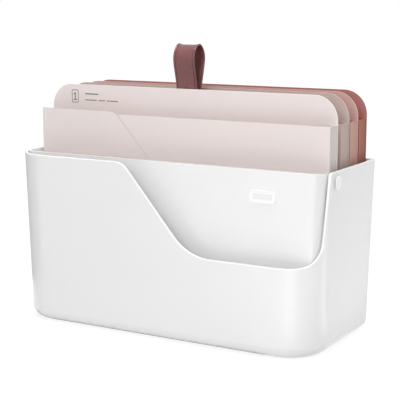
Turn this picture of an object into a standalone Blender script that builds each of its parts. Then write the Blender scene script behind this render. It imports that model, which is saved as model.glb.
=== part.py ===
"""Document tray for a desk: a moulded tub with a sloping cut-out that wraps round one corner,
a divider hung on two pins behind it, and four gusseted pocket folders that lift out.

Units are metres. Z points up, X runs along the tub and -Y is its front. The origin lies under
the middle of the tub, on the surface that its feet stand on.
"""
import math

import bmesh
import bpy
from mathutils import Vector
from mathutils.geometry import interpolate_bezier

# Clearances
SEAT_GAP = 0.0003
CUT_OVERRUN = 0.004

# Folders: one size of folder, sized for A4 sheets on their side
FOLDER_COUNT = 4
FOLDER_WIDTH = 0.318
FOLDER_DEPTH = 0.0196
BACK_BOARD_HEIGHT = 0.2271
BACK_BOARD_THICKNESS = 0.0012
BACK_BOARD_CORNER = 0.0235
POCKET_BOARD_HEIGHT = 0.2004
POCKET_BOARD_THICKNESS = 0.0012
BOARD_LOWER_CORNER = 0.0015

# Sleeve in front of each pocket board, with a sloping edge like the tub's
SLEEVE_HEIGHT = 0.2034
SLEEVE_THICKNESS = 0.001
SLEEVE_CREST_X = -0.0707
SLEEVE_DROP = 0.084
SLEEVE_SLOPE = math.radians(48.5)
SLEEVE_CREST_RADIUS = 0.014
SLEEVE_TOE_RADIUS = 0.050

# Pleated strip that joins pocket board and back board
GUSSET_INSET = 0.0006
GUSSET_THICKNESS = 0.0008
GUSSET_PLEAT = 0.0009
GUSSET_FLANGE = 0.008

# Rows of space along the depth of the tub, front to back
FRONT_POCKET_DEPTH = 0.0145
DIVIDER_THICKNESS = 0.0027
LOOSE_SPACE_DEPTH = 0.0230
STRAP_SPACE = 0.0066
FOLDER_SPACE = 0.0020

# Tub
TUB_HEIGHT = 0.169
TUB_WALL = 0.003
TUB_FLOOR = 0.003
SIDE_DRAFT = math.radians(1.47)
FACE_DRAFT = math.radians(0.86)
FRONT_CORNER_RADIUS = 0.039
REAR_CORNER_RADIUS = 0.0052
BASE_FILLET = 0.0115
RIM_ROUNDING = 0.0011

# Cut-out in the tub's front, given on its outer face
CUT_CREST_X = -0.0327
CUT_EDGE_HEIGHT = 0.085
CUT_SLOPE = math.radians(49.8)
CUT_CREST_RADIUS = 0.018
CUT_TOE_RADIUS = 0.050
CUT_SIDE_SETBACK = 0.0241
CUT_SIDE_LEAN = math.radians(5.4)
CUT_SIDE_TOE_RADIUS = 0.024
CUT_SIDE_CREST_RADIUS = 0.0045

# Divider and its two pins
DIVIDER_END_CLEARANCE = 0.0012
DIVIDER_END_RADIUS = 0.005
DIVIDER_LOWER_CORNER = 0.016
DIVIDER_ARM_HEIGHT = 0.070
DIVIDER_FLOOR_CLEARANCE = 0.0006
DIVIDER_EDGE_ROUNDING = 0.0006
PIN_BELOW_RIM = 0.0105
PIN_SETBACK = 0.0265
PIN_DIAMETER = 0.006
PIN_CAP_DIAMETER = 0.0132
PIN_CAP_THICKNESS = 0.0019
PIN_CAP_ROUNDING = 0.0009

# Pull strap and its rivet
STRAP_WIDTH = 0.023
STRAP_THICKNESS = 0.0018
STRAP_RISE = 0.0436
STRAP_WIDEST_RISE = 0.029
STRAP_FRONT_BULGE = 0.0061
STRAP_REAR_BULGE = 0.0151
STRAP_TAIL_BELOW_RIVET = 0.012
STRAP_JOIN_ABOVE_RIVET = 0.009
STRAP_JOIN_BELOW_POCKET = 0.006
RIVET_BELOW_TOP = 0.0384
RIVET_DIAMETER = 0.004
RIVET_CAP_DIAMETER = 0.009
RIVET_CAP_THICKNESS = 0.001
RIVET_CAP_ROUNDING = 0.0004

# Feet
FOOT_DIAMETER = 0.016
FOOT_STAND = 0.001
FOOT_RECESS = 0.001
FOOT_ROUNDING = 0.0003
FOOT_EDGE_DISTANCE = 0.010

# Facets: counts of steps along the round stretches
FILLET_STEPS = 5
WALL_STEPS = 3
CORNER_STEPS = 10
SMALL_CORNER_STEPS = 4
EDGE_ARC_STEPS = 8
TURN_STEPS = 32
STRAP_STEPS = 8
BOARD_END_SHARES = (0.8, 0.6, 0.4, 0.2, 0.0)

# Places that follow from the sizes above. Heights in the tub are taken from its underside.
INNER_FILLET = BASE_FILLET - TUB_WALL
INNER_FILLET_HEIGHT = TUB_FLOOR + INNER_FILLET
INNER_REAR_RADIUS = REAR_CORNER_RADIUS - TUB_WALL
SIDE_CLEARANCE = INNER_REAR_RADIUS - (INNER_REAR_RADIUS - SEAT_GAP) * math.sqrt(0.5)


def folder_seat_height():
    """Height of the folders' lower edges, whose corners rest on the fillets along the side walls."""
    reach = INNER_FILLET - SEAT_GAP - BOARD_LOWER_CORNER
    across = INNER_FILLET - SIDE_CLEARANCE - BOARD_LOWER_CORNER
    return INNER_FILLET_HEIGHT - math.sqrt(reach ** 2 - across ** 2) - BOARD_LOWER_CORNER


def rear_fillet_room():
    """How far the fillet along the rear wall stands out at the height of the folders' lower edges."""
    below = INNER_FILLET_HEIGHT - FOLDER_BOTTOM
    return INNER_FILLET - math.sqrt((INNER_FILLET - SEAT_GAP) ** 2 - below ** 2)


FOLDER_BOTTOM = folder_seat_height()
REAR_CLEARANCE = rear_fillet_room() + SEAT_GAP
FOLDER_STACK_DEPTH = FOLDER_COUNT * FOLDER_DEPTH + STRAP_SPACE + (FOLDER_COUNT - 2) * FOLDER_SPACE
BASE_HALF_WIDTH = FOLDER_WIDTH / 2 + SIDE_CLEARANCE + TUB_WALL
BASE_HALF_DEPTH = TUB_WALL + (FRONT_POCKET_DEPTH + DIVIDER_THICKNESS + LOOSE_SPACE_DEPTH
                              + FOLDER_STACK_DEPTH + REAR_CLEARANCE) / 2
DIVIDER_FRONT = TUB_WALL + FRONT_POCKET_DEPTH - BASE_HALF_DEPTH
FIRST_FOLDER_FRONT = DIVIDER_FRONT + DIVIDER_THICKNESS + LOOSE_SPACE_DEPTH
PIN_Y = DIVIDER_FRONT + PIN_SETBACK
PIN_HEIGHT = TUB_HEIGHT - PIN_BELOW_RIM
PIN_BORE_RADIUS = PIN_DIAMETER / 2 + SEAT_GAP


def half_width(height):
    """Half of the tub's outer width at a height above its underside."""
    return BASE_HALF_WIDTH + height * math.tan(SIDE_DRAFT)


def half_depth(height):
    """Half of the tub's outer depth at a height above its underside."""
    return BASE_HALF_DEPTH + height * math.tan(FACE_DRAFT)


def clear_scene():
    """Start from an empty scene."""
    for old in list(bpy.data.objects):
        bpy.data.objects.remove(old, do_unlink=True)


def make_material(name, colour, roughness, metallic=0.0):
    """One plain surface finish."""
    finish = bpy.data.materials.new(name)
    finish.use_nodes = True
    shader = finish.node_tree.nodes["Principled BSDF"]
    shader.inputs["Base Color"].default_value = (*colour, 1.0)
    shader.inputs["Roughness"].default_value = roughness
    shader.inputs["Metallic"].default_value = metallic
    return finish


def make_object(name, bm, finish, location=(0, 0, 0), parent=None):
    """Turn a bmesh into a named object with smooth round surfaces and crisp edges."""
    bmesh.ops.remove_doubles(bm, verts=bm.verts, dist=SEAT_GAP / 30)
    bmesh.ops.recalc_face_normals(bm, faces=bm.faces)
    mesh = bpy.data.meshes.new(name)
    bm.to_mesh(mesh)
    bm.free()
    mesh.shade_smooth()
    mesh.set_sharp_from_angle(angle=math.radians(35))
    if finish:
        mesh.materials.append(finish)
    thing = bpy.data.objects.new(name, mesh)
    thing.location = location
    thing.parent = parent
    bpy.context.scene.collection.objects.link(thing)
    return thing


def make_axis(name, location):
    """Empty that carries the pieces of one moving body."""
    axis = bpy.data.objects.new(name, None)
    axis.location = location
    bpy.context.scene.collection.objects.link(axis)
    return axis


def arc(centre, radius, start, end, steps):
    """Points along an arc, both ends included. Angles are in radians."""
    return [(centre[0] + radius * math.cos(start + (end - start) * i / steps),
             centre[1] + radius * math.sin(start + (end - start) * i / steps))
            for i in range(steps + 1)]


def sloping_edge(crest_x, top, drop, slope, crest_radius, toe_radius):
    """Edge that leaves a level top, falls at an angle and runs out level, with both bends round."""
    crest_run = crest_radius * math.tan(slope / 2)
    toe_run = toe_radius * math.tan(slope / 2)
    toe_x = crest_x + drop / math.tan(slope) + toe_run
    upright = math.radians(90)
    crest = arc((crest_x - crest_run, top - crest_radius), crest_radius,
                upright, upright - slope, EDGE_ARC_STEPS)
    toe = arc((toe_x, top - drop + toe_radius), toe_radius,
              -upright - slope, -upright, EDGE_ARC_STEPS)
    return crest + toe


def skin(sections):
    """Grid of quads laid over a row of sections that have the same number of points."""
    bm = bmesh.new()
    rows = len(sections[0])
    bmesh.ops.create_grid(bm, x_segments=len(sections) - 1, y_segments=rows - 1, size=1)
    bm.verts.ensure_lookup_table()
    for column, section in enumerate(sections):
        for row, point in enumerate(section):
            bm.verts[row * len(sections) + column].co = point
    bmesh.ops.remove_doubles(bm, verts=bm.verts, dist=SEAT_GAP / 30)
    return bm


def close_ends(bm):
    """Fill the flat openings that a skin leaves at its ends."""
    open_edges = [edge for edge in bm.edges if edge.is_boundary]
    bmesh.ops.holes_fill(bm, edges=open_edges, sides=0)


def turned(profile, axis):
    """Solid turned about the X, Y or Z axis from (radius, distance along the axis) points."""
    bm = bmesh.new()
    along = {"X": Vector((1, 0, 0)), "Y": Vector((0, 1, 0)), "Z": Vector((0, 0, 1))}[axis]
    across = Vector((0, 0, 1)) if axis != "Z" else Vector((1, 0, 0))
    verts = [bm.verts.new(across * radius + along * distance) for radius, distance in profile]
    edges = [bm.edges.new(pair) for pair in zip(verts, verts[1:])]
    bmesh.ops.spin(bm, geom=verts + edges, cent=(0, 0, 0), axis=along,
                   angle=math.tau, steps=TURN_STEPS, use_merge=True)
    return bm


def rod_cutter(name, radius, length, location, axis):
    """Plain round cutter, shown as wires and left out of the model."""
    bm = turned([(0, -length / 2), (radius, -length / 2), (radius, length / 2), (0, length / 2)], axis)
    cutter = make_object(name, bm, None, location)
    cutter.hide_render = True
    cutter.display_type = "WIRE"
    return cutter


def cut(thing, cutter):
    """Cut one object with another."""
    boolean = thing.modifiers.new("cut_" + cutter.name, "BOOLEAN")
    boolean.operation = "DIFFERENCE"
    boolean.solver = "EXACT"
    boolean.object = cutter


def round_edges(thing, width, segments=2):
    """Round the edges that turn by more than 45 degrees."""
    bevel = thing.modifiers.new("rounded_edges", "BEVEL")
    bevel.width = width
    bevel.segments = segments
    bevel.limit_method = "ANGLE"
    bevel.angle_limit = math.radians(45)


def corner_place(side_x, side_y, radius, angle):
    """Place on a corner arc of the tub's plan, as a function of height and inset."""
    def place(height, inset):
        setback = max(radius, inset)
        reach = radius - min(radius, inset)
        return (side_x * (half_width(height) - setback) + reach * math.cos(angle),
                side_y * (half_depth(height) - setback) + reach * math.sin(angle))
    return place


def front_place(x):
    """Place on the front wall, at a distance from the middle."""
    return lambda height, inset: (x, inset - half_depth(height))


def right_place(y, height):
    """Place on the right wall or its front corner, found by its distance along Y at a height."""
    centre_y = FRONT_CORNER_RADIUS - half_depth(height)
    if y < centre_y:
        lift = (y - centre_y) / FRONT_CORNER_RADIUS
        return corner_place(1, -1, FRONT_CORNER_RADIUS, math.asin(max(lift, -1)))
    back_off = y - centre_y
    return lambda level, inset: (half_width(level) - inset,
                                 FRONT_CORNER_RADIUS - half_depth(level) + back_off)


def cut_side_edge():
    """Edge of the cut-out in side view, from the low front edge up to the rim."""
    rise = TUB_HEIGHT - CUT_EDGE_HEIGHT
    turn = math.radians(90) - CUT_SIDE_LEAN
    line_foot_y = CUT_SIDE_SETBACK - half_depth(CUT_EDGE_HEIGHT)
    line_top_y = line_foot_y + rise * math.tan(CUT_SIDE_LEAN)
    toe_y = line_foot_y - CUT_SIDE_TOE_RADIUS * math.tan(turn / 2)
    crest_y = line_top_y + CUT_SIDE_CREST_RADIUS * math.tan(turn / 2)
    toe = arc((toe_y, CUT_EDGE_HEIGHT + CUT_SIDE_TOE_RADIUS), CUT_SIDE_TOE_RADIUS,
              math.radians(-90), math.radians(-90) + turn, EDGE_ARC_STEPS)
    crest = arc((crest_y, TUB_HEIGHT - CUT_SIDE_CREST_RADIUS), CUT_SIDE_CREST_RADIUS,
                math.radians(90) + turn, math.radians(90), SMALL_CORNER_STEPS)
    line = [(toe[-1][0] + (crest[0][0] - toe[-1][0]) * i / WALL_STEPS,
             toe[-1][1] + (crest[0][1] - toe[-1][1]) * i / WALL_STEPS) for i in range(1, WALL_STEPS)]
    return toe + line + crest


def tub_stations():
    """Places round the tub's plan, each with the height of the wall's edge there."""
    rim = TUB_HEIGHT
    quarter = math.radians(90)
    front_left = [(corner_place(-1, -1, FRONT_CORNER_RADIUS, 2 * quarter + quarter * i / CORNER_STEPS), rim)
                  for i in range(CORNER_STEPS + 1)]
    slope = sloping_edge(CUT_CREST_X, rim, rim - CUT_EDGE_HEIGHT, CUT_SLOPE,
                         CUT_CREST_RADIUS, CUT_TOE_RADIUS)
    front = [(front_place(x), height) for x, height in slope]
    side_edge = cut_side_edge()
    first_angle = math.asin((side_edge[0][0] - FRONT_CORNER_RADIUS + half_depth(CUT_EDGE_HEIGHT))
                            / FRONT_CORNER_RADIUS)
    before_edge = [(corner_place(1, -1, FRONT_CORNER_RADIUS,
                                 -quarter + (first_angle + quarter) * i / SMALL_CORNER_STEPS),
                    CUT_EDGE_HEIGHT) for i in range(SMALL_CORNER_STEPS)]
    side = [(right_place(y, height), height) for y, height in side_edge]
    rear_right = [(corner_place(1, 1, REAR_CORNER_RADIUS, quarter * i / SMALL_CORNER_STEPS), rim)
                  for i in range(SMALL_CORNER_STEPS + 1)]
    rear_left = [(corner_place(-1, 1, REAR_CORNER_RADIUS, quarter + quarter * i / SMALL_CORNER_STEPS), rim)
                 for i in range(SMALL_CORNER_STEPS + 1)]
    return front_left + front + before_edge + side + rear_right + rear_left


def tub_section(place, edge_height):
    """Line up the outside of the wall, over its edge and down the inside, at one place."""
    quarter = math.radians(90)
    points = []
    for inset, fall in arc((BASE_FILLET, BASE_FILLET), BASE_FILLET, 3 * quarter, 2 * quarter, FILLET_STEPS):
        points.append((*place(fall, inset), fall))
    for i in range(1, WALL_STEPS + 1):
        height = BASE_FILLET + (edge_height - BASE_FILLET) * i / WALL_STEPS
        points.append((*place(height, 0), height))
    foot = TUB_FLOOR + INNER_FILLET
    for i in range(WALL_STEPS, 0, -1):
        height = foot + (edge_height - foot) * i / WALL_STEPS
        points.append((*place(height, TUB_WALL), height))
    inner_arc = arc((TUB_WALL + INNER_FILLET, foot), INNER_FILLET, 2 * quarter, 3 * quarter, FILLET_STEPS)
    for inset, height in inner_arc:
        points.append((*place(height, inset), height))
    return points


def make_tub(finish):
    """Moulded tub with drafted walls, a filleted base and the wrap-round cut-out."""
    sections = [tub_section(place, height) for place, height in tub_stations()]
    bm = skin(sections + sections[:1])
    close_ends(bm)
    tub = make_object("tub", bm, finish, (0, 0, FOOT_STAND))
    round_edges(tub, RIM_ROUNDING)
    return tub


def foot_places():
    """Centres of the four feet on the flat of the underside."""
    x = BASE_HALF_WIDTH - BASE_FILLET - FOOT_EDGE_DISTANCE - FOOT_DIAMETER / 2
    y = BASE_HALF_DEPTH - BASE_FILLET - FOOT_EDGE_DISTANCE - FOOT_DIAMETER / 2
    return {"front_left": (-x, -y), "front_right": (x, -y), "rear_left": (-x, y), "rear_right": (x, y)}


def make_feet(tub, finish):
    """Soft round feet, each set in a shallow round recess."""
    thickness = FOOT_STAND + FOOT_RECESS - SEAT_GAP
    radius = FOOT_DIAMETER / 2
    for corner, (x, y) in foot_places().items():
        profile = [(0, thickness), (radius, thickness)]
        profile += arc((radius - FOOT_ROUNDING, FOOT_ROUNDING), FOOT_ROUNDING, 0, math.radians(-90), 2)
        profile += [(0, 0)]
        make_object("foot_" + corner, turned(profile, "Z"), finish, (x, y, 0))
        recess = rod_cutter("foot_recess_" + corner, radius + SEAT_GAP, 2 * FOOT_RECESS,
                            (x, y, FOOT_STAND), "Z")
        cut(tub, recess)


def divider_low_height():
    """Height of the divider's lower edge, from the arc that it sweeps over the floor."""
    sweep = PIN_HEIGHT - TUB_FLOOR - DIVIDER_FLOOR_CLEARANCE
    return PIN_HEIGHT - math.sqrt(sweep ** 2 - PIN_SETBACK ** 2)


def divider_path(height, depth_in):
    """Right half of the divider's plan at a height: board, bend, wrapped end and ear.

    depth_in is 0 on the outer face and the divider's thickness on the inner one. Each stretch has
    a fixed count of points, so that the faces of all heights line up.
    """
    centre_x = half_width(height) - FRONT_CORNER_RADIUS
    centre_y = FRONT_CORNER_RADIUS - half_depth(height)
    end_radius = FRONT_CORNER_RADIUS - TUB_WALL - DIVIDER_END_CLEARANCE
    bend_y = DIVIDER_FRONT + DIVIDER_END_RADIUS
    bend_reach = end_radius - DIVIDER_END_RADIUS
    bend_x = centre_x + math.sqrt(bend_reach ** 2 - (bend_y - centre_y) ** 2)
    bend_angle = math.atan2(bend_y - centre_y, bend_x - centre_x)
    board = [(0, DIVIDER_FRONT + depth_in), (bend_x - DIVIDER_LOWER_CORNER, DIVIDER_FRONT + depth_in)]
    board += [(bend_x - DIVIDER_LOWER_CORNER * share, DIVIDER_FRONT + depth_in)
              for share in BOARD_END_SHARES]
    bend = arc((bend_x, bend_y), DIVIDER_END_RADIUS - depth_in, math.radians(-90), bend_angle,
               SMALL_CORNER_STEPS)
    arm_reach = end_radius - depth_in
    wrap_end = math.asin(min(PIN_Y - centre_y, 0) / end_radius)
    wrap = arc((centre_x, centre_y), arm_reach, bend_angle, wrap_end, SMALL_CORNER_STEPS)
    ear = []
    for i in range(EDGE_ARC_STEPS + 1):
        ear_y = PIN_Y + PIN_BELOW_RIM * math.sin(math.radians(90) * i / EDGE_ARC_STEPS)
        ear.append((centre_x + math.sqrt(arm_reach ** 2 - min(ear_y - centre_y, 0) ** 2), ear_y))
    return board + bend[1:] + wrap[1:] + ear


def divider_edge_heights():
    """Lower and upper edge of the divider at each point of its path.

    The lower edge rounds the board's corner, climbs steeply at the bend and then slopes up along
    the arm that reaches back to the pin, which leaves the arm clear of the folders as it swings.
    """
    low = divider_low_height()
    flat = divider_path(low, 0)
    run = [0.0]
    for here, there in zip(flat, flat[1:]):
        run.append(run[-1] + math.dist(here, there))
    board_end = 1 + len(BOARD_END_SHARES)
    arm_start = board_end + SMALL_CORNER_STEPS
    ear_start = len(flat) - 1 - EDGE_ARC_STEPS
    corner_run = run[board_end] - DIVIDER_LOWER_CORNER
    corner_top = low + DIVIDER_LOWER_CORNER
    ear_low = PIN_HEIGHT - PIN_BELOW_RIM
    edges = []
    for index, distance in enumerate(run):
        if index >= ear_start:
            turn = math.radians(90) * (index - ear_start) / EDGE_ARC_STEPS
            reach = PIN_BELOW_RIM * math.cos(turn)
            edges.append((PIN_HEIGHT - reach, PIN_HEIGHT + reach))
            continue
        lower = low
        if index >= arm_start:
            share = (distance - run[arm_start]) / (run[ear_start] - run[arm_start])
            lower = DIVIDER_ARM_HEIGHT + (ear_low - DIVIDER_ARM_HEIGHT) * share
        elif index >= board_end:
            share = (distance - run[board_end]) / (run[arm_start] - run[board_end])
            lower = corner_top + (DIVIDER_ARM_HEIGHT - corner_top) * share
        elif distance > corner_run:
            side = distance - corner_run
            lower = corner_top - math.sqrt(DIVIDER_LOWER_CORNER ** 2 - side ** 2)
        edges.append((lower, TUB_HEIGHT))
    return edges


def divider_section(index, lower, upper, mirror):
    """Closed line round the divider's thickness at one point of its path."""
    heights = [lower + (upper - lower) * i / WALL_STEPS for i in range(WALL_STEPS + 1)]
    points = []
    for height in heights:
        x, y = divider_path(height, 0)[index]
        points.append((mirror * x, y, height))
    for height in reversed(heights):
        x, y = divider_path(height, DIVIDER_THICKNESS)[index]
        points.append((mirror * x, y, height))
    return points + points[:1]


def make_divider(finish, axis):
    """Upright divider whose ends wrap round along the tub's corners to the two pins."""
    edges = divider_edge_heights()
    right = [divider_section(i, lower, upper, 1) for i, (lower, upper) in enumerate(edges)]
    left = [divider_section(i, lower, upper, -1) for i, (lower, upper) in enumerate(edges)]
    bm = skin(left[:0:-1] + right)
    close_ends(bm)
    bmesh.ops.translate(bm, verts=bm.verts, vec=(0, -PIN_Y, -PIN_HEIGHT))
    divider = make_object("divider", bm, finish, (0, 0, 0), axis)
    round_edges(divider, DIVIDER_EDGE_ROUNDING)
    return divider


def make_pin(side, mirror, finish, axis):
    """Pin with a round cap outside the tub's wall and a shank that ends flush in the ear."""
    wall_lean = PIN_CAP_DIAMETER / 2 * math.tan(SIDE_DRAFT)
    cap_seat = half_width(PIN_HEIGHT) + wall_lean + SEAT_GAP
    shank_end = half_width(PIN_HEIGHT) - TUB_WALL - DIVIDER_END_CLEARANCE - DIVIDER_THICKNESS
    cap_radius = PIN_CAP_DIAMETER / 2
    cap_face = cap_seat + PIN_CAP_THICKNESS
    profile = [(0, shank_end), (PIN_DIAMETER / 2, shank_end), (PIN_DIAMETER / 2, cap_seat),
               (cap_radius, cap_seat)]
    profile += arc((cap_radius - PIN_CAP_ROUNDING, cap_face - PIN_CAP_ROUNDING), PIN_CAP_ROUNDING,
                   0, math.radians(90), 3)
    profile += [(0, cap_face)]
    bm = turned([(radius, mirror * distance) for radius, distance in profile], "X")
    return make_object("pivot_pin_" + side, bm, finish, (0, 0, 0), axis)


def board(name, outline, thickness, finish, location, parent):
    """Flat board cut to an outline of (x, z) points, with its front face on the location."""
    bm = bmesh.new()
    face = bm.faces.new([bm.verts.new((x, 0, z)) for x, z in outline])
    grown = bmesh.ops.extrude_face_region(bm, geom=[face])
    moved = [item for item in grown["geom"] if isinstance(item, bmesh.types.BMVert)]
    bmesh.ops.translate(bm, verts=moved, vec=(0, thickness, 0))
    return make_object(name, bm, finish, location, parent)


def lower_corners():
    """Both rounded lower corners of a folder board, from right to left."""
    reach = FOLDER_WIDTH / 2 - BOARD_LOWER_CORNER
    quarter = math.radians(90)
    right = arc((reach, BOARD_LOWER_CORNER), BOARD_LOWER_CORNER, 0, -quarter, SMALL_CORNER_STEPS)
    left = arc((-reach, BOARD_LOWER_CORNER), BOARD_LOWER_CORNER, -quarter, -2 * quarter, SMALL_CORNER_STEPS)
    return right + left


def back_board_outline():
    """Tall board with widely rounded upper corners."""
    reach = FOLDER_WIDTH / 2 - BACK_BOARD_CORNER
    rise = BACK_BOARD_HEIGHT - BACK_BOARD_CORNER
    quarter = math.radians(90)
    left = arc((-reach, rise), BACK_BOARD_CORNER, 2 * quarter, quarter, CORNER_STEPS)
    right = arc((reach, rise), BACK_BOARD_CORNER, quarter, 0, CORNER_STEPS)
    return left + right + lower_corners()


def pocket_board_outline():
    """Board with a straight upper edge."""
    side = FOLDER_WIDTH / 2
    return [(-side, POCKET_BOARD_HEIGHT), (side, POCKET_BOARD_HEIGHT)] + lower_corners()


def sleeve_outline():
    """Board that is tall on the left and slopes down to the right."""
    side = FOLDER_WIDTH / 2
    slope = sloping_edge(SLEEVE_CREST_X, SLEEVE_HEIGHT, SLEEVE_DROP, SLEEVE_SLOPE,
                         SLEEVE_CREST_RADIUS, SLEEVE_TOE_RADIUS)
    return [(-side, SLEEVE_HEIGHT)] + slope + [(side, SLEEVE_HEIGHT - SLEEVE_DROP)] + lower_corners()


def gusset_profile(depth):
    """Cross-section of the gusset: (distance along Y, distance in from its outer line)."""
    middle = depth / 2
    thick = GUSSET_THICKNESS
    return [(0, GUSSET_FLANGE), (0, 0), (middle, GUSSET_PLEAT), (depth, 0), (depth, GUSSET_FLANGE),
            (depth - thick, GUSSET_FLANGE), (depth - thick, thick), (middle, GUSSET_PLEAT + thick),
            (thick, thick), (thick, GUSSET_FLANGE), (0, GUSSET_FLANGE)]


def gusset_route(inward):
    """The gusset's way down one side, along the bottom and up the other, moved inwards."""
    side = FOLDER_WIDTH / 2 - GUSSET_INSET - inward
    low = GUSSET_INSET + inward
    return [(-side, POCKET_BOARD_HEIGHT), (-side, low), (side, low), (side, POCKET_BOARD_HEIGHT)]


def make_gusset(name, depth, finish, location, parent):
    """Pleated strip with glue flanges, mitred at both lower corners."""
    profile = gusset_profile(depth)
    routes = [gusset_route(inward) for _, inward in profile]
    sections = [[(route[i][0], y, route[i][1]) for (y, _), route in zip(profile, routes)]
                for i in range(len(routes[0]))]
    bm = skin(sections)
    close_ends(bm)
    return make_object(name, bm, finish, location, parent)


def folder_front(number):
    """Front face of a folder: the strap takes a wider space behind the first one."""
    spaces = 0.0 if number == 1 else STRAP_SPACE + (number - 2) * FOLDER_SPACE
    return FIRST_FOLDER_FRONT + (number - 1) * FOLDER_DEPTH + spaces


def make_folder(number, finish):
    """One pocket folder: sleeve, pocket board, gusset and back board, front to back."""
    front = folder_front(number)
    axis = make_axis(f"folder_{number}_lift", (0, front, FOOT_STAND + FOLDER_BOTTOM))
    name = f"folder_{number}_"
    y = 0.0
    board(name + "sleeve", sleeve_outline(), SLEEVE_THICKNESS, finish, (0, y, 0), axis)
    y += SLEEVE_THICKNESS + SEAT_GAP
    board(name + "pocket_board", pocket_board_outline(), POCKET_BOARD_THICKNESS, finish, (0, y, 0), axis)
    y += POCKET_BOARD_THICKNESS + SEAT_GAP
    back = FOLDER_DEPTH - BACK_BOARD_THICKNESS
    make_gusset(name + "gusset", back - SEAT_GAP - y, finish, (0, y, 0), axis)
    rear_board = board(name + "back_board", back_board_outline(), BACK_BOARD_THICKNESS, finish,
                       (0, back, 0), axis)
    return axis, rear_board


def strap_centreline(rivet_height):
    """Middle of the strap's thickness, up its front leaf, round the loop and down behind it.

    Distances along Y are taken from the back board's rear face and heights from its lower edge.
    The rear leaf stays flat until it has passed the rivet and nearly cleared the next pocket.
    """
    front = SEAT_GAP + STRAP_THICKNESS / 2
    rear = front + STRAP_THICKNESS + SEAT_GAP
    tail = rivet_height - STRAP_TAIL_BELOW_RIVET
    pocket_top = max(POCKET_BOARD_HEIGHT, SLEEVE_HEIGHT)
    join = max(rivet_height + STRAP_JOIN_ABOVE_RIVET, pocket_top - STRAP_JOIN_BELOW_POCKET)
    top = BACK_BOARD_HEIGHT + STRAP_RISE - STRAP_THICKNESS / 2
    widest = BACK_BOARD_HEIGHT + STRAP_WIDEST_RISE
    middle = front + (STRAP_REAR_BULGE - STRAP_FRONT_BULGE) / 2
    bow = top - widest
    knots = [
        (Vector((front, tail)), Vector((0, STRAP_JOIN_ABOVE_RIVET))),
        (Vector((front, BACK_BOARD_HEIGHT)), Vector((0, bow / 2))),
        (Vector((front - STRAP_FRONT_BULGE, widest)), Vector((0, bow / 2))),
        (Vector((middle, top)), Vector((STRAP_REAR_BULGE / 3, 0))),
        (Vector((front + STRAP_REAR_BULGE, widest)), Vector((0, -bow / 2))),
        (Vector((rear, join)), Vector((0, -bow))),
        (Vector((rear, tail)), Vector((0, -STRAP_JOIN_ABOVE_RIVET / 2))),
    ]
    line = []
    for (here, leave), (there, arrive) in zip(knots, knots[1:]):
        stretch = interpolate_bezier(here, here + leave, there - arrive, there, STRAP_STEPS + 1)
        line += stretch if not line else stretch[1:]
    return line


def make_strap(axis, finish):
    """Leather ribbon folded into a standing loop, both tails behind the first back board."""
    rivet_height = BACK_BOARD_HEIGHT - RIVET_BELOW_TOP
    bm = bmesh.new()
    verts = [bm.verts.new((-STRAP_WIDTH / 2, point.x, point.y)) for point in strap_centreline(rivet_height)]
    edges = [bm.edges.new(pair) for pair in zip(verts, verts[1:])]
    grown = bmesh.ops.extrude_edge_only(bm, edges=edges)
    moved = [item for item in grown["geom"] if isinstance(item, bmesh.types.BMVert)]
    bmesh.ops.translate(bm, verts=moved, vec=(STRAP_WIDTH, 0, 0))
    strap = make_object("pull_strap", bm, finish, (0, FOLDER_DEPTH, 0), axis)
    shell = strap.modifiers.new("leather_thickness", "SOLIDIFY")
    shell.thickness = STRAP_THICKNESS
    shell.offset = 0
    shell.use_even_offset = True
    return strap, rivet_height


def make_rivet(axis, strap, rear_board, rivet_height, finish):
    """Rivet with a cap on each side, through the back board and both tails of the strap."""
    front = FOLDER_DEPTH - BACK_BOARD_THICKNESS - SEAT_GAP
    rear = FOLDER_DEPTH + 3 * SEAT_GAP + 2 * STRAP_THICKNESS
    cap = RIVET_CAP_DIAMETER / 2
    inner_cap = cap - RIVET_CAP_ROUNDING
    quarter = math.radians(90)
    profile = [(0, front - RIVET_CAP_THICKNESS)]
    profile += arc((inner_cap, front - RIVET_CAP_THICKNESS + RIVET_CAP_ROUNDING), RIVET_CAP_ROUNDING,
                   -quarter, 0, 2)
    profile += [(cap, front), (RIVET_DIAMETER / 2, front), (RIVET_DIAMETER / 2, rear), (cap, rear)]
    profile += arc((inner_cap, rear + RIVET_CAP_THICKNESS - RIVET_CAP_ROUNDING), RIVET_CAP_ROUNDING,
                   0, quarter, 2)
    profile += [(0, rear + RIVET_CAP_THICKNESS)]
    make_object("strap_rivet", turned(profile, "Y"), finish, (0, 0, rivet_height), axis)
    place = axis.location + Vector((0, FOLDER_DEPTH, rivet_height))
    bore = rod_cutter("rivet_bore", RIVET_DIAMETER / 2 + SEAT_GAP, 4 * CUT_OVERRUN, place, "Y")
    cut(strap, bore)
    cut(rear_board, bore)


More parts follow.
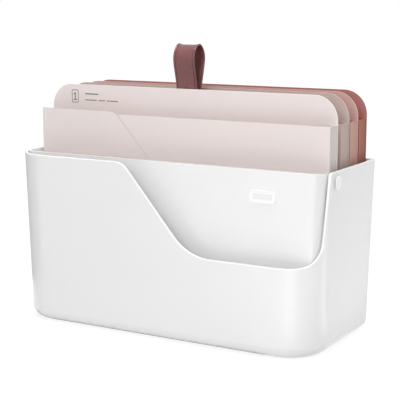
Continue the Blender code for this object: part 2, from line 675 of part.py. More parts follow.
def build():
    """The whole tray."""
    clear_scene()
    white = make_material("white_moulding", (0.86, 0.86, 0.86), 0.35)
    rubber = make_material("grey_rubber", (0.25, 0.25, 0.25), 0.8)
    leather = make_material("wine_leather", (0.20, 0.085, 0.085), 0.5)
    steel = make_material("rivet_steel", (0.55, 0.55, 0.55), 0.3, 1.0)
    card_colours = [(0.72, 0.65, 0.62), (0.48, 0.37, 0.32), (0.50, 0.28, 0.24), (0.33, 0.12, 0.10)]
    cards = [make_material(f"card_{i + 1}", colour, 0.6) for i, colour in enumerate(card_colours)]

    tub = make_tub(white)
    make_feet(tub, rubber)
    pin_axis = make_axis("divider_hinge", (0, PIN_Y, FOOT_STAND + PIN_HEIGHT))
    divider = make_divider(white, pin_axis)
    for side, mirror in (("left", -1), ("right", 1)):
        make_pin(side, mirror, white, pin_axis)
        bore_x = mirror * (half_width(PIN_HEIGHT) - TUB_WALL)
        bore = rod_cutter("pin_bore_" + side, PIN_BORE_RADIUS, 4 * CUT_OVERRUN,
                          (bore_x, PIN_Y, FOOT_STAND + PIN_HEIGHT), "X")
        cut(tub, bore)
        cut(divider, bore)

    for number in range(1, FOLDER_COUNT + 1):
        axis, rear_board = make_folder(number, cards[(number - 1) % len(cards)])
        if number == 1:
            strap, rivet_height = make_strap(axis, leather)
            make_rivet(axis, strap, rear_board, rivet_height, steel)


build()
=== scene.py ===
# %% [markdown]
# A document tray for a desk. The real one is a white moulded tub with a sloping window in its
# front, a divider that hangs on two pins behind the window, and four card folders that lift out.
# The measured model is loaded first, because every finished piece below takes its place from it.
# Loading it as a fixed frame, and dressing it afterwards, keeps the joints and the sizes true.

# %% Load the measured model
import math

import bmesh
import bpy
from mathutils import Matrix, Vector
from mathutils.geometry import interpolate_bezier


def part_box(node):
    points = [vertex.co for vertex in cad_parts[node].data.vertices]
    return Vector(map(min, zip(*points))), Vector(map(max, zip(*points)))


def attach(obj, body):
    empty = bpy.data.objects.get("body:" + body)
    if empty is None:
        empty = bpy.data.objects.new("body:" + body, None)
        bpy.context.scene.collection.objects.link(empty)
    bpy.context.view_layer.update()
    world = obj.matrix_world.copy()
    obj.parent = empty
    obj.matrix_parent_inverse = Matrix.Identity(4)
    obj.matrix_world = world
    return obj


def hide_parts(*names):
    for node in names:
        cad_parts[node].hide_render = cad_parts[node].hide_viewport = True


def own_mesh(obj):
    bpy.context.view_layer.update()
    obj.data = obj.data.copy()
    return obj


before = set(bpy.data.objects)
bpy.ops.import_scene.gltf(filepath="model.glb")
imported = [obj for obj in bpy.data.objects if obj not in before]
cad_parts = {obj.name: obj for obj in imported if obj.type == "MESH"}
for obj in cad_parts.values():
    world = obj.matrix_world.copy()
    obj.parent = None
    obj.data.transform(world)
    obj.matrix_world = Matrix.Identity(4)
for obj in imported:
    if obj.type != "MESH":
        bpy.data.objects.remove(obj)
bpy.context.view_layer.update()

print("nodes in the model:", len(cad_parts))

# %% [markdown]
# The camera stands to the right of the tray's front and a little above it. A long lens from over
# a metre away keeps the upright edges almost parallel, as product pictures do. The place is given
# as a turn, a rise and a distance from a point inside the tray, which is easier to adjust than
# three coordinates.

# %% Camera
VIEW_TARGET = Vector((0.012, 0.0, 0.1266))
VIEW_TURN = math.radians(29.79)
VIEW_RISE = math.radians(10.08)
VIEW_DISTANCE = 1.1205
VIEW_LENS_MM = 102.69

scene = bpy.context.scene


def link(thing):
    """Put a new object into the scene."""
    scene.collection.objects.link(thing)
    return thing


def aim(thing, target):
    """Turn a camera or a lamp towards a point."""
    thing.rotation_euler = (target - thing.location).to_track_quat("-Z", "Y").to_euler()


def around(turn, rise, distance):
    """Point seen from the target at a turn to the right of the front and a rise above level."""
    level = math.cos(rise)
    way = Vector((math.sin(turn) * level, -math.cos(turn) * level, math.sin(rise)))
    return VIEW_TARGET + distance * way


camera = link(bpy.data.objects.new("camera", bpy.data.cameras.new("camera")))
camera.data.lens = VIEW_LENS_MM
camera.location = around(VIEW_TURN, VIEW_RISE, VIEW_DISTANCE)
aim(camera, VIEW_TARGET)
scene.camera = camera
scene.view_settings.view_transform = "Standard"
print("camera stands at", [round(value, 3) for value in camera.location])

# %% [markdown]
# The surroundings are a plain white studio. A white tray on white needs soft light from all
# round, or its walls turn grey, so most of the light comes from the world. What the camera and
# the reflections see is a plain white at strength 1, and the light itself is set apart from it
# with Light Path, so that the background never washes out the object. Light may bounce a dozen
# times, because between white walls it goes on brightening the gaps long after the usual four.

# %% World
WORLD_LIGHT = 0.61
SEEN_WHITE = 1.0
SEEN_RAYS = ("Is Camera Ray", "Is Glossy Ray", "Is Transmission Ray")
DIFFUSE_BOUNCES = 12
ALL_BOUNCES = 16


def grey(shade):
    """Neutral colour from a shade between 0 and 1."""
    return (shade, shade, shade, 1.0)


def empty_tree(owner):
    """Node tree of a world or a material, cleared."""
    owner.use_nodes = True
    owner.node_tree.nodes.clear()
    return owner.node_tree


def even_light(tree, kind, strength):
    """Shader that gives white light of one strength."""
    light = tree.nodes.new(kind)
    light.inputs["Color"].default_value = grey(1.0)
    light.inputs["Strength"].default_value = strength
    return light


def is_seen(tree):
    """One value that is 1 for the rays of the camera, of reflections and of clear things."""
    path = tree.nodes.new("ShaderNodeLightPath")
    value = path.outputs[SEEN_RAYS[0]]
    for kind in SEEN_RAYS[1:]:
        larger = tree.nodes.new("ShaderNodeMath")
        larger.operation = "MAXIMUM"
        tree.links.new(value, larger.inputs[0])
        tree.links.new(path.outputs[kind], larger.inputs[1])
        value = larger.outputs[0]
    return value


def show_by_ray(tree, output_kind, seen, unseen):
    """Show one shader to the camera and in reflections, and another to all other rays."""
    choice = tree.nodes.new("ShaderNodeMixShader")
    output = tree.nodes.new(output_kind)
    tree.links.new(is_seen(tree), choice.inputs[0])
    tree.links.new(unseen.outputs[0], choice.inputs[1])
    tree.links.new(seen.outputs[0], choice.inputs[2])
    tree.links.new(choice.outputs[0], output.inputs["Surface"])


world = bpy.data.worlds.new("studio")
scene.world = world
tree = empty_tree(world)
show_by_ray(tree, "ShaderNodeOutputWorld",
            seen=even_light(tree, "ShaderNodeBackground", SEEN_WHITE),
            unseen=even_light(tree, "ShaderNodeBackground", WORLD_LIGHT))
scene.cycles.diffuse_bounces = DIFFUSE_BOUNCES
scene.cycles.max_bounces = ALL_BOUNCES
print("world gives light of strength", WORLD_LIGHT)

# %% [markdown]
# The floor is a large pale sheet. It has to look white and still carry the tray's soft shadow.
# For the camera it is a mix of a little diffuse paint, which takes the shadow, and a steady glow
# that lifts it to white. For all other rays it is plain pale paint, so it throws honest light
# back on to the tray.

# %% Floor
FLOOR_SIZE = 8.0
FLOOR_PAINT = 0.68
FLOOR_SHADOW_PAINT = 0.24
FLOOR_GLOW = 0.86


def matt_paint(tree, shade):
    """Plain matt paint of a grey shade."""
    paint = tree.nodes.new("ShaderNodeBsdfDiffuse")
    paint.inputs["Color"].default_value = grey(shade)
    return paint


bm = bmesh.new()
bmesh.ops.create_grid(bm, x_segments=1, y_segments=1, size=FLOOR_SIZE / 2)
floor_mesh = bpy.data.meshes.new("floor")
bm.to_mesh(floor_mesh)
bm.free()
link(bpy.data.objects.new("floor", floor_mesh))

paper = bpy.data.materials.new("studio_floor")
floor_mesh.materials.append(paper)
tree = empty_tree(paper)
lifted = tree.nodes.new("ShaderNodeAddShader")
tree.links.new(matt_paint(tree, FLOOR_SHADOW_PAINT).outputs[0], lifted.inputs[0])
tree.links.new(even_light(tree, "ShaderNodeEmission", FLOOR_GLOW).outputs[0], lifted.inputs[1])
show_by_ray(tree, "ShaderNodeOutputMaterial", seen=lifted, unseen=matt_paint(tree, FLOOR_PAINT))
print("floor is", FLOOR_SIZE, "m wide")

# %% [markdown]
# Three soft lamps give the white walls their shape. The strong one hangs almost overhead, so the
# rims and the strap's bend get bright edges and the window's pocket darkens towards its floor.
# A second stands in front and keeps the front wall a little lighter than the side wall, and a
# faint one fills the right side. The size of an area lamp decides how soft each edge is.

# %% Lamps


def soft_lamp(name, turn, rise, distance, width, height, power):
    """Rectangular lamp that stands round the tray like the camera and faces it."""
    lamp = bpy.data.lights.new(name, "AREA")
    lamp.shape = "RECTANGLE"
    lamp.size = width
    lamp.size_y = height
    lamp.energy = power
    holder = link(bpy.data.objects.new(name, lamp))
    holder.location = around(math.radians(turn), math.radians(rise), distance)
    aim(holder, VIEW_TARGET)
    print(name, "has", power, "watts")


soft_lamp("lamp_top", turn=12, rise=78, distance=1.3, width=0.6, height=0.6, power=9.5)
soft_lamp("lamp_front", turn=10, rise=24, distance=1.8, width=0.9, height=0.9, power=6.0)
soft_lamp("lamp_right", turn=122, rise=14, distance=1.5, width=0.35, height=1.0, power=0.5)

# %% [markdown]
# Satin plastic shows its roundness by what it mirrors. Two glowing cards lie on the floor beside
# the right front corner, where the walls' mirror direction points, and draw two upright bands of
# light on it. Each is a wedge that opens away from the corner, so its band stays equally wide from
# top to bottom. The camera doesn't see the cards themselves.

# %% Light cards
CARD_MIDDLE = (0.128, -0.032)
CARD_NEAR, CARD_FAR = 0.09, 0.65
CARD_LIFT = 0.003


def studio_card(name, corners, finish):
    """Card that the camera doesn't see and that throws no shadow of its own."""
    bm = bmesh.new()
    bm.faces.new([bm.verts.new(corner) for corner in corners])
    mesh = bpy.data.meshes.new(name)
    bm.to_mesh(mesh)
    bm.free()
    mesh.materials.append(finish)
    card = link(bpy.data.objects.new(name, mesh))
    card.visible_camera = False
    card.visible_shadow = False
    print(name, "covers", round(mesh.polygons[0].area, 4), "square metres")


def glowing(name, strength):
    """Finish that gives an even light."""
    finish = bpy.data.materials.new(name)
    tree = empty_tree(finish)
    output = tree.nodes.new("ShaderNodeOutputMaterial")
    tree.links.new(even_light(tree, "ShaderNodeEmission", strength).outputs[0], output.inputs["Surface"])
    return finish


def light_card(name, turn, half_angle, strength):
    """Glowing wedge on the floor, seen from the middle of the tray's right front corner."""
    corners = []
    for reach, side in ((CARD_NEAR, -1), (CARD_NEAR, 1), (CARD_FAR, 1), (CARD_FAR, -1)):
        angle = math.radians(turn + side * half_angle)
        corners.append((CARD_MIDDLE[0] + reach * math.sin(angle),
                        CARD_MIDDLE[1] - reach * math.cos(angle), CARD_LIFT))
    studio_card(name, corners, glowing(name, strength))


light_card("card_front", turn=23, half_angle=14, strength=1.95)
light_card("card_side", turn=119, half_angle=9, strength=2.0)

# %% [markdown]
# The tray's left end and its lower edge are a little darker than the rest, which gives the white
# body its outline on a white ground. A photographer gets this with grey cards. One stands beside
# the left end, dimmer than the room round it, and one lies under the tray, where it takes light
# from the rounded lower edge.

# %% Shade cards
LEFT_CARD_X = -0.28
LEFT_CARD_FRONT, LEFT_CARD_REAR = -0.17, 0.06
LEFT_CARD_TOP = 0.20
LEFT_CARD_GLOW = 0.52
UNDER_CARD_LEFT, UNDER_CARD_RIGHT = -0.162, 0.115
UNDER_CARD_HALF_DEPTH = 0.065
UNDER_CARD_LIFT = 0.0015
UNDER_CARD_SHADE = 0.80


def dull_paper(name, shade):
    """Finish of plain grey paper."""
    finish = bpy.data.materials.new(name)
    finish.use_nodes = True
    shader = finish.node_tree.nodes["Principled BSDF"]
    shader.inputs["Base Color"].default_value = grey(shade)
    shader.inputs["Roughness"].default_value = 1.0
    return finish


studio_card("card_left",
            [(LEFT_CARD_X, y, z) for y, z in ((LEFT_CARD_FRONT, 0), (LEFT_CARD_REAR, 0),
                                              (LEFT_CARD_REAR, LEFT_CARD_TOP),
                                              (LEFT_CARD_FRONT, LEFT_CARD_TOP))],
            glowing("card_left", LEFT_CARD_GLOW))
studio_card("card_under",
            [(x, side * UNDER_CARD_HALF_DEPTH, UNDER_CARD_LIFT)
             for x, side in ((UNDER_CARD_LEFT, -1), (UNDER_CARD_RIGHT, -1),
                             (UNDER_CARD_RIGHT, 1), (UNDER_CARD_LEFT, 1))],
            dull_paper("card_under", UNDER_CARD_SHADE))

# %% [markdown]
# Every finish below is built from the same few node steps: a noise pattern that sits on the
# object's own coordinates, a way to turn it into a range of values or colours, and a relief.
# Small helpers for these keep each finish short. Object coordinates are in metres, so a scale of
# 1000 makes features of about a millimetre.

# %% Helpers for finishes
NOISE_LOW, NOISE_HIGH = 0.3, 0.7


def new_finish(name, metallic=0.0):
    """Material with one Principled shader; gives the material, its tree and the shader."""
    finish = bpy.data.materials.new(name)
    finish.use_nodes = True
    shader = finish.node_tree.nodes["Principled BSDF"]
    shader.inputs["Metallic"].default_value = metallic
    return finish, finish.node_tree, shader


def on_object(tree, stretch=(1, 1, 1)):
    """The object's own coordinates, stretched along the axes."""
    place = tree.nodes.new("ShaderNodeTexCoord")
    mapping = tree.nodes.new("ShaderNodeMapping")
    mapping.inputs["Scale"].default_value = stretch
    tree.links.new(place.outputs["Object"], mapping.inputs["Vector"])
    return mapping.outputs["Vector"]


def noise(tree, scale, detail=2.0, stretch=(1, 1, 1)):
    """Cloudy pattern, mostly between the two noise values above."""
    texture = tree.nodes.new("ShaderNodeTexNoise")
    texture.inputs["Scale"].default_value = scale
    texture.inputs["Detail"].default_value = detail
    tree.links.new(on_object(tree, stretch), texture.inputs["Vector"])
    return texture.outputs[0]


def ranged(tree, pattern, low, high):
    """Pattern mapped to values from low to high."""
    spread = tree.nodes.new("ShaderNodeMapRange")
    spread.inputs["From Min"].default_value = NOISE_LOW
    spread.inputs["From Max"].default_value = NOISE_HIGH
    spread.inputs["To Min"].default_value = low
    spread.inputs["To Max"].default_value = high
    tree.links.new(pattern, spread.inputs["Value"])
    return spread.outputs["Result"]


def tinted(tree, pattern, dark, light):
    """Pattern turned into a soft change between two colours."""
    ramp = tree.nodes.new("ShaderNodeValToRGB")
    for element, place, colour in zip(ramp.color_ramp.elements, (NOISE_LOW, NOISE_HIGH), (dark, light)):
        element.position = place
        element.color = (*colour, 1.0)
    tree.links.new(pattern, ramp.inputs["Fac"])
    return ramp.outputs["Color"]


def scaled(colour, share):
    """Colour made darker or lighter by a share."""
    return tuple(min(value * share, 1.0) for value in colour)


def mottled(tree, pattern, colour, least, most):
    """One colour that a pattern varies between two shares of itself."""
    return tinted(tree, pattern, scaled(colour, least), scaled(colour, most))


def relief(tree, pattern, depth, strength, over=None):
    """Bumps of a real depth in metres, over another relief if one is given."""
    bump = tree.nodes.new("ShaderNodeBump")
    bump.inputs["Distance"].default_value = depth
    bump.inputs["Strength"].default_value = strength
    tree.links.new(pattern, bump.inputs["Height"])
    if over:
        tree.links.new(over, bump.inputs["Normal"])
    return bump.outputs["Normal"]


def wire(tree, shader, **patterns):
    """Link patterns to the shader's sockets: base_color, roughness or normal."""
    for socket, pattern in patterns.items():
        tree.links.new(pattern, shader.inputs[socket.replace("_", " ").title()])


# %% [markdown]
# The tub, divider and pins are moulded in a white plastic with a fine satin texture, which comes
# from the spark-eroded steel of the mould. The grain is far too small to model, so it is a bump
# of a few hundredths of a millimetre. A slower pattern changes the gloss a little from place to
# place, as handling does, and a faint tone keeps the wide walls from looking painted. The pins
# and the plate's border look a purer white, so they have a finish of their own, and the same
# purer white on the upright edge of the window is a painted highlight.

# %% White moulding
TUB_WHITE = (0.85, 0.85, 0.85)
DIVIDER_WHITE = (0.88, 0.88, 0.88)
# Purer white of the pins and the plate's border; on the window's upright edge it is a painted highlight.
PURE_WHITE_AND_EDGE_HIGHLIGHT = (0.965, 0.965, 0.965)


def white_moulding(name, white):
    """Satin white plastic."""
    finish, tree, shader = new_finish(name)
    waves = relief(tree, noise(tree, scale=22.0), depth=0.0004, strength=0.10)
    wire(tree, shader,
         base_color=mottled(tree, noise(tree, scale=9.0), white, least=0.985, most=1.01),
         roughness=ranged(tree, noise(tree, scale=34.0, detail=3.0), low=0.34, high=0.43),
         normal=relief(tree, noise(tree, scale=2300.0), depth=0.00003, strength=0.35, over=waves))
    shader.inputs["Coat Weight"].default_value = 1.0
    shader.inputs["Coat Roughness"].default_value = 0.15
    return finish


tub_white = white_moulding("white_moulding", TUB_WHITE)
divider_white = white_moulding("divider_white_moulding", DIVIDER_WHITE)
pure_white_and_edge_highlight = white_moulding("pure_white_and_painted_edge_highlight", PURE_WHITE_AND_EDGE_HIGHLIGHT)
print("whites:", TUB_WHITE[0], DIVIDER_WHITE[0], PURE_WHITE_AND_EDGE_HIGHLIGHT[0])

# %% [markdown]
# The folders are thin smooth board, coloured in four tones from pale pink-grey to terracotta. Such
# board has short fibres that show as a very soft grain. The cut edges of each kind of board get a
# share of the face's colour of their own: darker on the sleeves as painted shade, lighter on the
# back boards as a painted highlight, and darkest on the last back board. The pleated strips are
# thinner, and their darker tones of their own are painted shade on the folders' sides. One
# function makes them all.

# %% Folder board
BOARD_TONES = {
    1: (0.828, 0.748, 0.731),
    2: (0.606, 0.481, 0.452),
    3: (0.655, 0.416, 0.378),
    4: (0.478, 0.198, 0.177),
}
# Pleat tones are darker than the boards' tones, painted shade for the folders' sides.
PLEAT_SHADED_TONES = {
    1: (0.715, 0.669, 0.638),
    2: (0.561, 0.425, 0.381),
    3: (0.567, 0.325, 0.273),
    4: (0.371, 0.128, 0.090),
}
# Edge shares: sleeves' edges darker as painted shade, back boards' edges lighter as a painted highlight.
EDGE_SHADE_AND_HIGHLIGHT_SHARES = {"sleeve": 0.66, "pocket_board": 0.98, "back_board": 1.12}
LAST_BACK_EDGE_SHARE = 0.36
FACE_FIBRES = 0.00003
PLEAT_FIBRES = 0.00004
EDGE_FIBRES = 0.00008


def board_finish(name, colour, fibre_depth):
    """Smooth board with a soft fibre grain."""
    finish, tree, shader = new_finish(name)
    fibres = noise(tree, scale=700.0, detail=4.0, stretch=(0.5, 1.0, 1.0))
    sheet = relief(tree, noise(tree, scale=26.0), depth=0.0002, strength=0.06)
    wire(tree, shader,
         base_color=mottled(tree, fibres, colour, least=0.99, most=1.01),
         roughness=ranged(tree, noise(tree, scale=60.0), low=0.52, high=0.62),
         normal=relief(tree, fibres, depth=fibre_depth, strength=0.25, over=sheet))
    shader.inputs["Specular IOR Level"].default_value = 0.35
    return finish


board_faces = {}
edge_shade_and_highlight_finishes = {}
shaded_pleat_papers = {}
for number, colour in BOARD_TONES.items():
    board_faces[number] = board_finish(f"board_{number}", colour, FACE_FIBRES)
    shaded_pleat_papers[number] = board_finish(f"shaded_pleats_{number}", PLEAT_SHADED_TONES[number], PLEAT_FIBRES)
    for part, share in EDGE_SHADE_AND_HIGHLIGHT_SHARES.items():
        if part == "back_board" and number == max(BOARD_TONES):
            share = LAST_BACK_EDGE_SHARE
        painted_light_edge_finish = board_finish(f"edge_{part}_{number}", scaled(colour, share), EDGE_FIBRES)
        edge_shade_and_highlight_finishes[number, part] = painted_light_edge_finish
print("board tones:", len(board_faces), "and finishes for cut edges:", len(edge_shade_and_highlight_finishes))

# %% [markdown]
# The pull strap is smooth wine-red leather. Up close it has a net of tiny pores and cells, with
# cloudy changes of colour under the polish. A Voronoi pattern gives the cells, and a noise adds
# softer wrinkles over them. The cut edges are burnished and a little lighter, a painted highlight,
# and the pressed creases are dark and dull, so each of them has a finish of their own.

# %% Leather
LEATHER = (0.178, 0.054, 0.056)
# The edge's lighter colour is a painted highlight on the strap's rounded edges.
LEATHER_EDGE_HIGHLIGHT = scaled(LEATHER, 1.06)
LEATHER_CREASE = scaled(LEATHER, 0.4)
LEATHER_CELLS = 1150.0


def leather_finish(name, colour, cell_depth, dullness, polish):
    """Leather with a fine cell grain."""
    finish, tree, shader = new_finish(name)
    clouds = noise(tree, scale=130.0, detail=4.0)
    cells = tree.nodes.new("ShaderNodeTexVoronoi")
    cells.feature = "DISTANCE_TO_EDGE"
    cells.inputs["Scale"].default_value = LEATHER_CELLS
    tree.links.new(on_object(tree), cells.inputs["Vector"])
    wrinkles = relief(tree, noise(tree, scale=300.0, detail=3.0), depth=0.00018, strength=0.35)
    wire(tree, shader,
         base_color=mottled(tree, clouds, colour, least=0.88, most=1.12),
         roughness=ranged(tree, clouds, low=dullness, high=dullness + 0.10),
         normal=relief(tree, cells.outputs["Distance"], depth=cell_depth, strength=0.45, over=wrinkles))
    shader.inputs["Coat Weight"].default_value = polish
    shader.inputs["Coat Roughness"].default_value = 0.22
    return finish


leather = leather_finish("wine_leather", LEATHER, cell_depth=0.00022, dullness=0.26, polish=0.25)
leather_edge_highlight = leather_finish("burnished_leather_edge_painted_highlight", LEATHER_EDGE_HIGHLIGHT,
                              cell_depth=0.00012, dullness=0.36, polish=0.2)
leather_crease = leather_finish("pressed_leather_crease", LEATHER_CREASE,
                                cell_depth=0.00012, dullness=0.50, polish=0.0)
print("leather's cells are about", round(1 / LEATHER_CELLS, 5), "m wide")

# %% [markdown]
# Three small finishes are left: the satin steel of the strap's rivet, the soft grey rubber of the
# feet and the dark ink of the mark on the first folder. Steel gets its look from a rotary polish,
# so its noise is stretched into short scratches. Ink lies in the board's fibres, so it is a
# little uneven.

# %% Steel, rubber and ink
STEEL_DARK, STEEL_LIGHT = (0.50, 0.50, 0.51), (0.62, 0.62, 0.63)
RUBBER_DARK, RUBBER_LIGHT = (0.20, 0.20, 0.20), (0.28, 0.28, 0.28)
INK_DARK, INK_LIGHT = (0.150, 0.130, 0.125), (0.230, 0.200, 0.190)


def steel_finish():
    """Satin steel with short scratches."""
    finish, tree, shader = new_finish("rivet_steel", metallic=1.0)
    scratches = noise(tree, scale=900.0, detail=3.0, stretch=(1.0, 1.0, 6.0))
    wire(tree, shader,
         base_color=tinted(tree, scratches, STEEL_DARK, STEEL_LIGHT),
         roughness=ranged(tree, scratches, low=0.24, high=0.36),
         normal=relief(tree, scratches, depth=0.00003, strength=0.3))
    return finish


def rubber_finish():
    """Soft matt grey rubber."""
    finish, tree, shader = new_finish("grey_rubber")
    bloom = noise(tree, scale=260.0, detail=3.0)
    wire(tree, shader,
         base_color=tinted(tree, bloom, RUBBER_DARK, RUBBER_LIGHT),
         roughness=ranged(tree, bloom, low=0.74, high=0.88),
         normal=relief(tree, noise(tree, scale=1500.0), depth=0.00008, strength=0.4))
    return finish


def ink_finish():
    """Dark printing ink, slightly uneven."""
    finish, tree, shader = new_finish("mark_ink")
    cover = noise(tree, scale=1400.0, detail=3.0)
    wire(tree, shader,
         base_color=tinted(tree, cover, INK_DARK, INK_LIGHT),
         roughness=ranged(tree, cover, low=0.45, high=0.6))
    return finish


steel = steel_finish()
rubber = rubber_finish()
ink = ink_finish()
print("finishes:", sorted(material.name for material in bpy.data.materials))

# %% [markdown]
# A handful of shape helpers serve all pieces. Rings of points that are extruded one after another
# make walls, straps and strips, a spin makes round parts, and an extruded face makes boards.
# Every piece ends in the same way: doubles merged, faces turned outwards, shading smooth with
# crisp edges kept, and weighted normals so that wide flat faces stay flat beside tiny roundings.

# %% Helpers for shapes
MERGE_DISTANCE = 0.00001
SHARP_ANGLE = math.radians(40)
CRISP_ANGLE = math.radians(60)
QUARTER = math.radians(90)
X_AXIS, Y_AXIS, Z_AXIS = Vector((1, 0, 0)), Vector((0, 1, 0)), Vector((0, 0, 1))
TURN_STEPS = 64


def arc(centre, radius, start, end, steps):
    """Points along an arc, both ends included."""
    return [(centre[0] + radius * math.cos(start + (end - start) * i / steps),
             centre[1] + radius * math.sin(start + (end - start) * i / steps))
            for i in range(steps + 1)]


def merge_doubles(bm):
    """Merge vertices that lie in one place."""
    bmesh.ops.remove_doubles(bm, verts=bm.verts, dist=MERGE_DISTANCE)


def close_up(bm):
    """Merge doubles and turn all faces outwards."""
    merge_doubles(bm)
    bmesh.ops.recalc_face_normals(bm, faces=bm.faces)


def grow_ring(bm, ring, points):
    """Extrude a closed ring of vertices and put the new ring on the given points."""
    edges = [bm.edges.get(pair) for pair in zip(ring, ring[1:] + ring[:1])]
    made = bmesh.ops.extrude_edge_only(bm, edges=edges)["geom"]
    fresh = {item for item in made if isinstance(item, bmesh.types.BMVert)}
    grown = []
    for vert, point in zip(ring, points):
        partner = next(painted_light_edge.other_vert(vert) for painted_light_edge in vert.link_edges if painted_light_edge.other_vert(vert) in fresh)
        partner.co = point
        grown.append(partner)
    return grown


def loft(rings):
    """Closed body through a row of rings, with a flat face at both ends."""
    bm = bmesh.new()
    circle = bmesh.ops.create_circle(bm, radius=1.0, segments=len(rings[0]))["verts"]
    ring = sorted(circle, key=lambda vert: math.atan2(vert.co.y, vert.co.x))
    for vert, point in zip(ring, rings[0]):
        vert.co = point
    bm.faces.new(ring)
    for points in rings[1:]:
        ring = grow_ring(bm, ring, points)
    bm.faces.new(ring)
    return bm


def turn(profile, centre, axis):
    """Body turned about an axis from (radius, distance along the axis) points."""
    bm = bmesh.new()
    across = Z_AXIS if axis.z == 0 else X_AXIS
    verts = [bm.verts.new(centre + across * radius + axis * along) for radius, along in profile]
    edges = [bm.edges.new(pair) for pair in zip(verts, verts[1:])]
    bmesh.ops.spin(bm, geom=verts + edges, cent=centre, axis=axis, angle=math.tau,
                   steps=TURN_STEPS, use_merge=True)
    return bm


def break_edges(bm, radius, segments):
    """Round every edge whose two faces meet at more than the crisp angle."""
    bm.normal_update()
    crisp = [painted_light_edge for painted_light_edge in bm.edges
             if len(painted_light_edge.link_faces) == 2 and painted_light_edge.calc_face_angle() > CRISP_ANGLE]
    bmesh.ops.bevel(bm, geom=crisp, offset=radius, offset_type="OFFSET", segments=segments,
                    profile=0.5, affect="EDGES", clamp_overlap=True, material=-1)


def make_piece(name, bm, finishes, body, stands_for=()):
    """Turn a bmesh into a finished piece that rides on a body of the model."""
    close_up(bm)
    mesh = bpy.data.meshes.new(name)
    bm.to_mesh(mesh)
    bm.free()
    mesh.shade_smooth()
    mesh.set_sharp_from_angle(angle=SHARP_ANGLE)
    for finish in finishes:
        mesh.materials.append(finish)
    piece = link(bpy.data.objects.new(name, mesh))
    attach(piece, body)
    if stands_for:
        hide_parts(*stands_for)
    even = piece.modifiers.new("even_normals", "WEIGHTED_NORMAL")
    even.keep_sharp = True
    print(name, "has", len(mesh.polygons), "faces")
    return piece


def helper_object(name, bm):
    """Object that is only needed for a Boolean."""
    close_up(bm)
    mesh = bpy.data.meshes.new(name)
    bm.to_mesh(mesh)
    return link(bpy.data.objects.new(name, mesh))


def drill(bm, radius, centre, axis, length):
    """Round hole through a body, cut with a Boolean by a plain rod."""
    target = helper_object("drill_target", bm)
    profile = [(0, -length / 2), (radius, -length / 2), (radius, length / 2), (0, length / 2)]
    rod_bm = turn(profile, centre, axis)
    rod = helper_object("drill_rod", rod_bm)
    rod_bm.free()
    hole = target.modifiers.new("hole", "BOOLEAN")
    hole.operation = "DIFFERENCE"
    hole.solver = "EXACT"
    hole.object = rod
    evaluated = target.evaluated_get(bpy.context.evaluated_depsgraph_get())
    bm.clear()
    bm.from_mesh(evaluated.to_mesh())
    evaluated.to_mesh_clear()
    for helper in (target, rod):
        bpy.data.objects.remove(helper, do_unlink=True)


# %% [markdown]
# The tub's plan has two wide round corners at the front and two tight ones at the back, and its
# walls lean out a little, so that it leaves the mould. Its size is read from the model. The
# leaning is described by two functions that give half the width and half the depth at a height,
# and every place on the walls follows from them.

# %% Tub: sizes and plan
SIDE_DRAFT = math.radians(1.47)
FACE_DRAFT = math.radians(0.86)
TUB_WALL = 0.003
TUB_FLOOR = 0.003
FRONT_CORNER = 0.039
REAR_CORNER = 0.0052
BASE_FILLET = 0.0115
RIM_ROUNDING = 0.0011

tub_low, tub_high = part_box("tub")
UNDERSIDE = tub_low.z
TUB_RIM = tub_high.z


def half_width(z):
    """Half of the tub's outer width at a height."""
    return tub_high.x - (TUB_RIM - RIM_ROUNDING - z) * math.tan(SIDE_DRAFT)


def half_depth(z):
    """Half of the tub's outer depth at a height."""
    return tub_high.y - (TUB_RIM - RIM_ROUNDING - z) * math.tan(FACE_DRAFT)


def corner_place(side_x, side_y, radius, angle):
    """Place on a round corner, as a function of height and of how far inside the outer face."""
    def place(z, inset):
        setback = max(radius, inset)
        reach = radius - min(radius, inset)
        return (side_x * (half_width(z) - setback) + reach * math.cos(angle),
                side_y * (half_depth(z) - setback) + reach * math.sin(angle))
    return place


def front_place(x):
    """Place on the front wall at a distance from the middle."""
    return lambda z, inset: (x, inset - half_depth(z))


def right_place(y, z):
    """Place on the right wall or its front corner, found by its distance along Y at a height."""
    centre_y = FRONT_CORNER - half_depth(z)
    if y < centre_y:
        return corner_place(1, -1, FRONT_CORNER, math.asin(max((y - centre_y) / FRONT_CORNER, -1)))
    back_off = y - centre_y
    return lambda level, inset: (half_width(level) - inset, FRONT_CORNER - half_depth(level) + back_off)


print("tub stands", round(TUB_RIM - UNDERSIDE, 4), "m high on its feet")

# %% [markdown]
# The window is one flowing edge. It leaves the rim with a tight bend, falls at about fifty
# degrees, runs level round the right front corner and climbs the right wall almost upright. The
# level of the wall's edge is worked out for each place round the plan, so the whole window is
# shaped with the wall and nothing has to be cut out afterwards.

# %% Tub: the edge of its wall
WINDOW_LEVEL = UNDERSIDE + 0.085
WINDOW_CREST_X = -0.0327
WINDOW_SLOPE = math.radians(49.8)
WINDOW_CREST_RADIUS = 0.018
WINDOW_TOE_RADIUS = 0.050
SIDE_SETBACK = 0.0241
SIDE_LEAN = math.radians(5.4)
SIDE_TOE_RADIUS = 0.024
SIDE_CREST_RADIUS = 0.0045
CORNER_STEPS = 26
SMALL_CORNER_STEPS = 8
EDGE_STEPS = 18
LINE_STEPS = 5


def sloping_edge(crest_x, top, drop, slope, crest_radius, toe_radius):
    """Edge that leaves a level top, falls at an angle and runs out level, with round bends."""
    crest_run = crest_radius * math.tan(slope / 2)
    toe_run = toe_radius * math.tan(slope / 2)
    toe_x = crest_x + drop / math.tan(slope) + toe_run
    crest = arc((crest_x - crest_run, top - crest_radius), crest_radius,
                QUARTER, QUARTER - slope, EDGE_STEPS)
    toe = arc((toe_x, top - drop + toe_radius), toe_radius, -QUARTER - slope, -QUARTER, EDGE_STEPS)
    return crest + toe


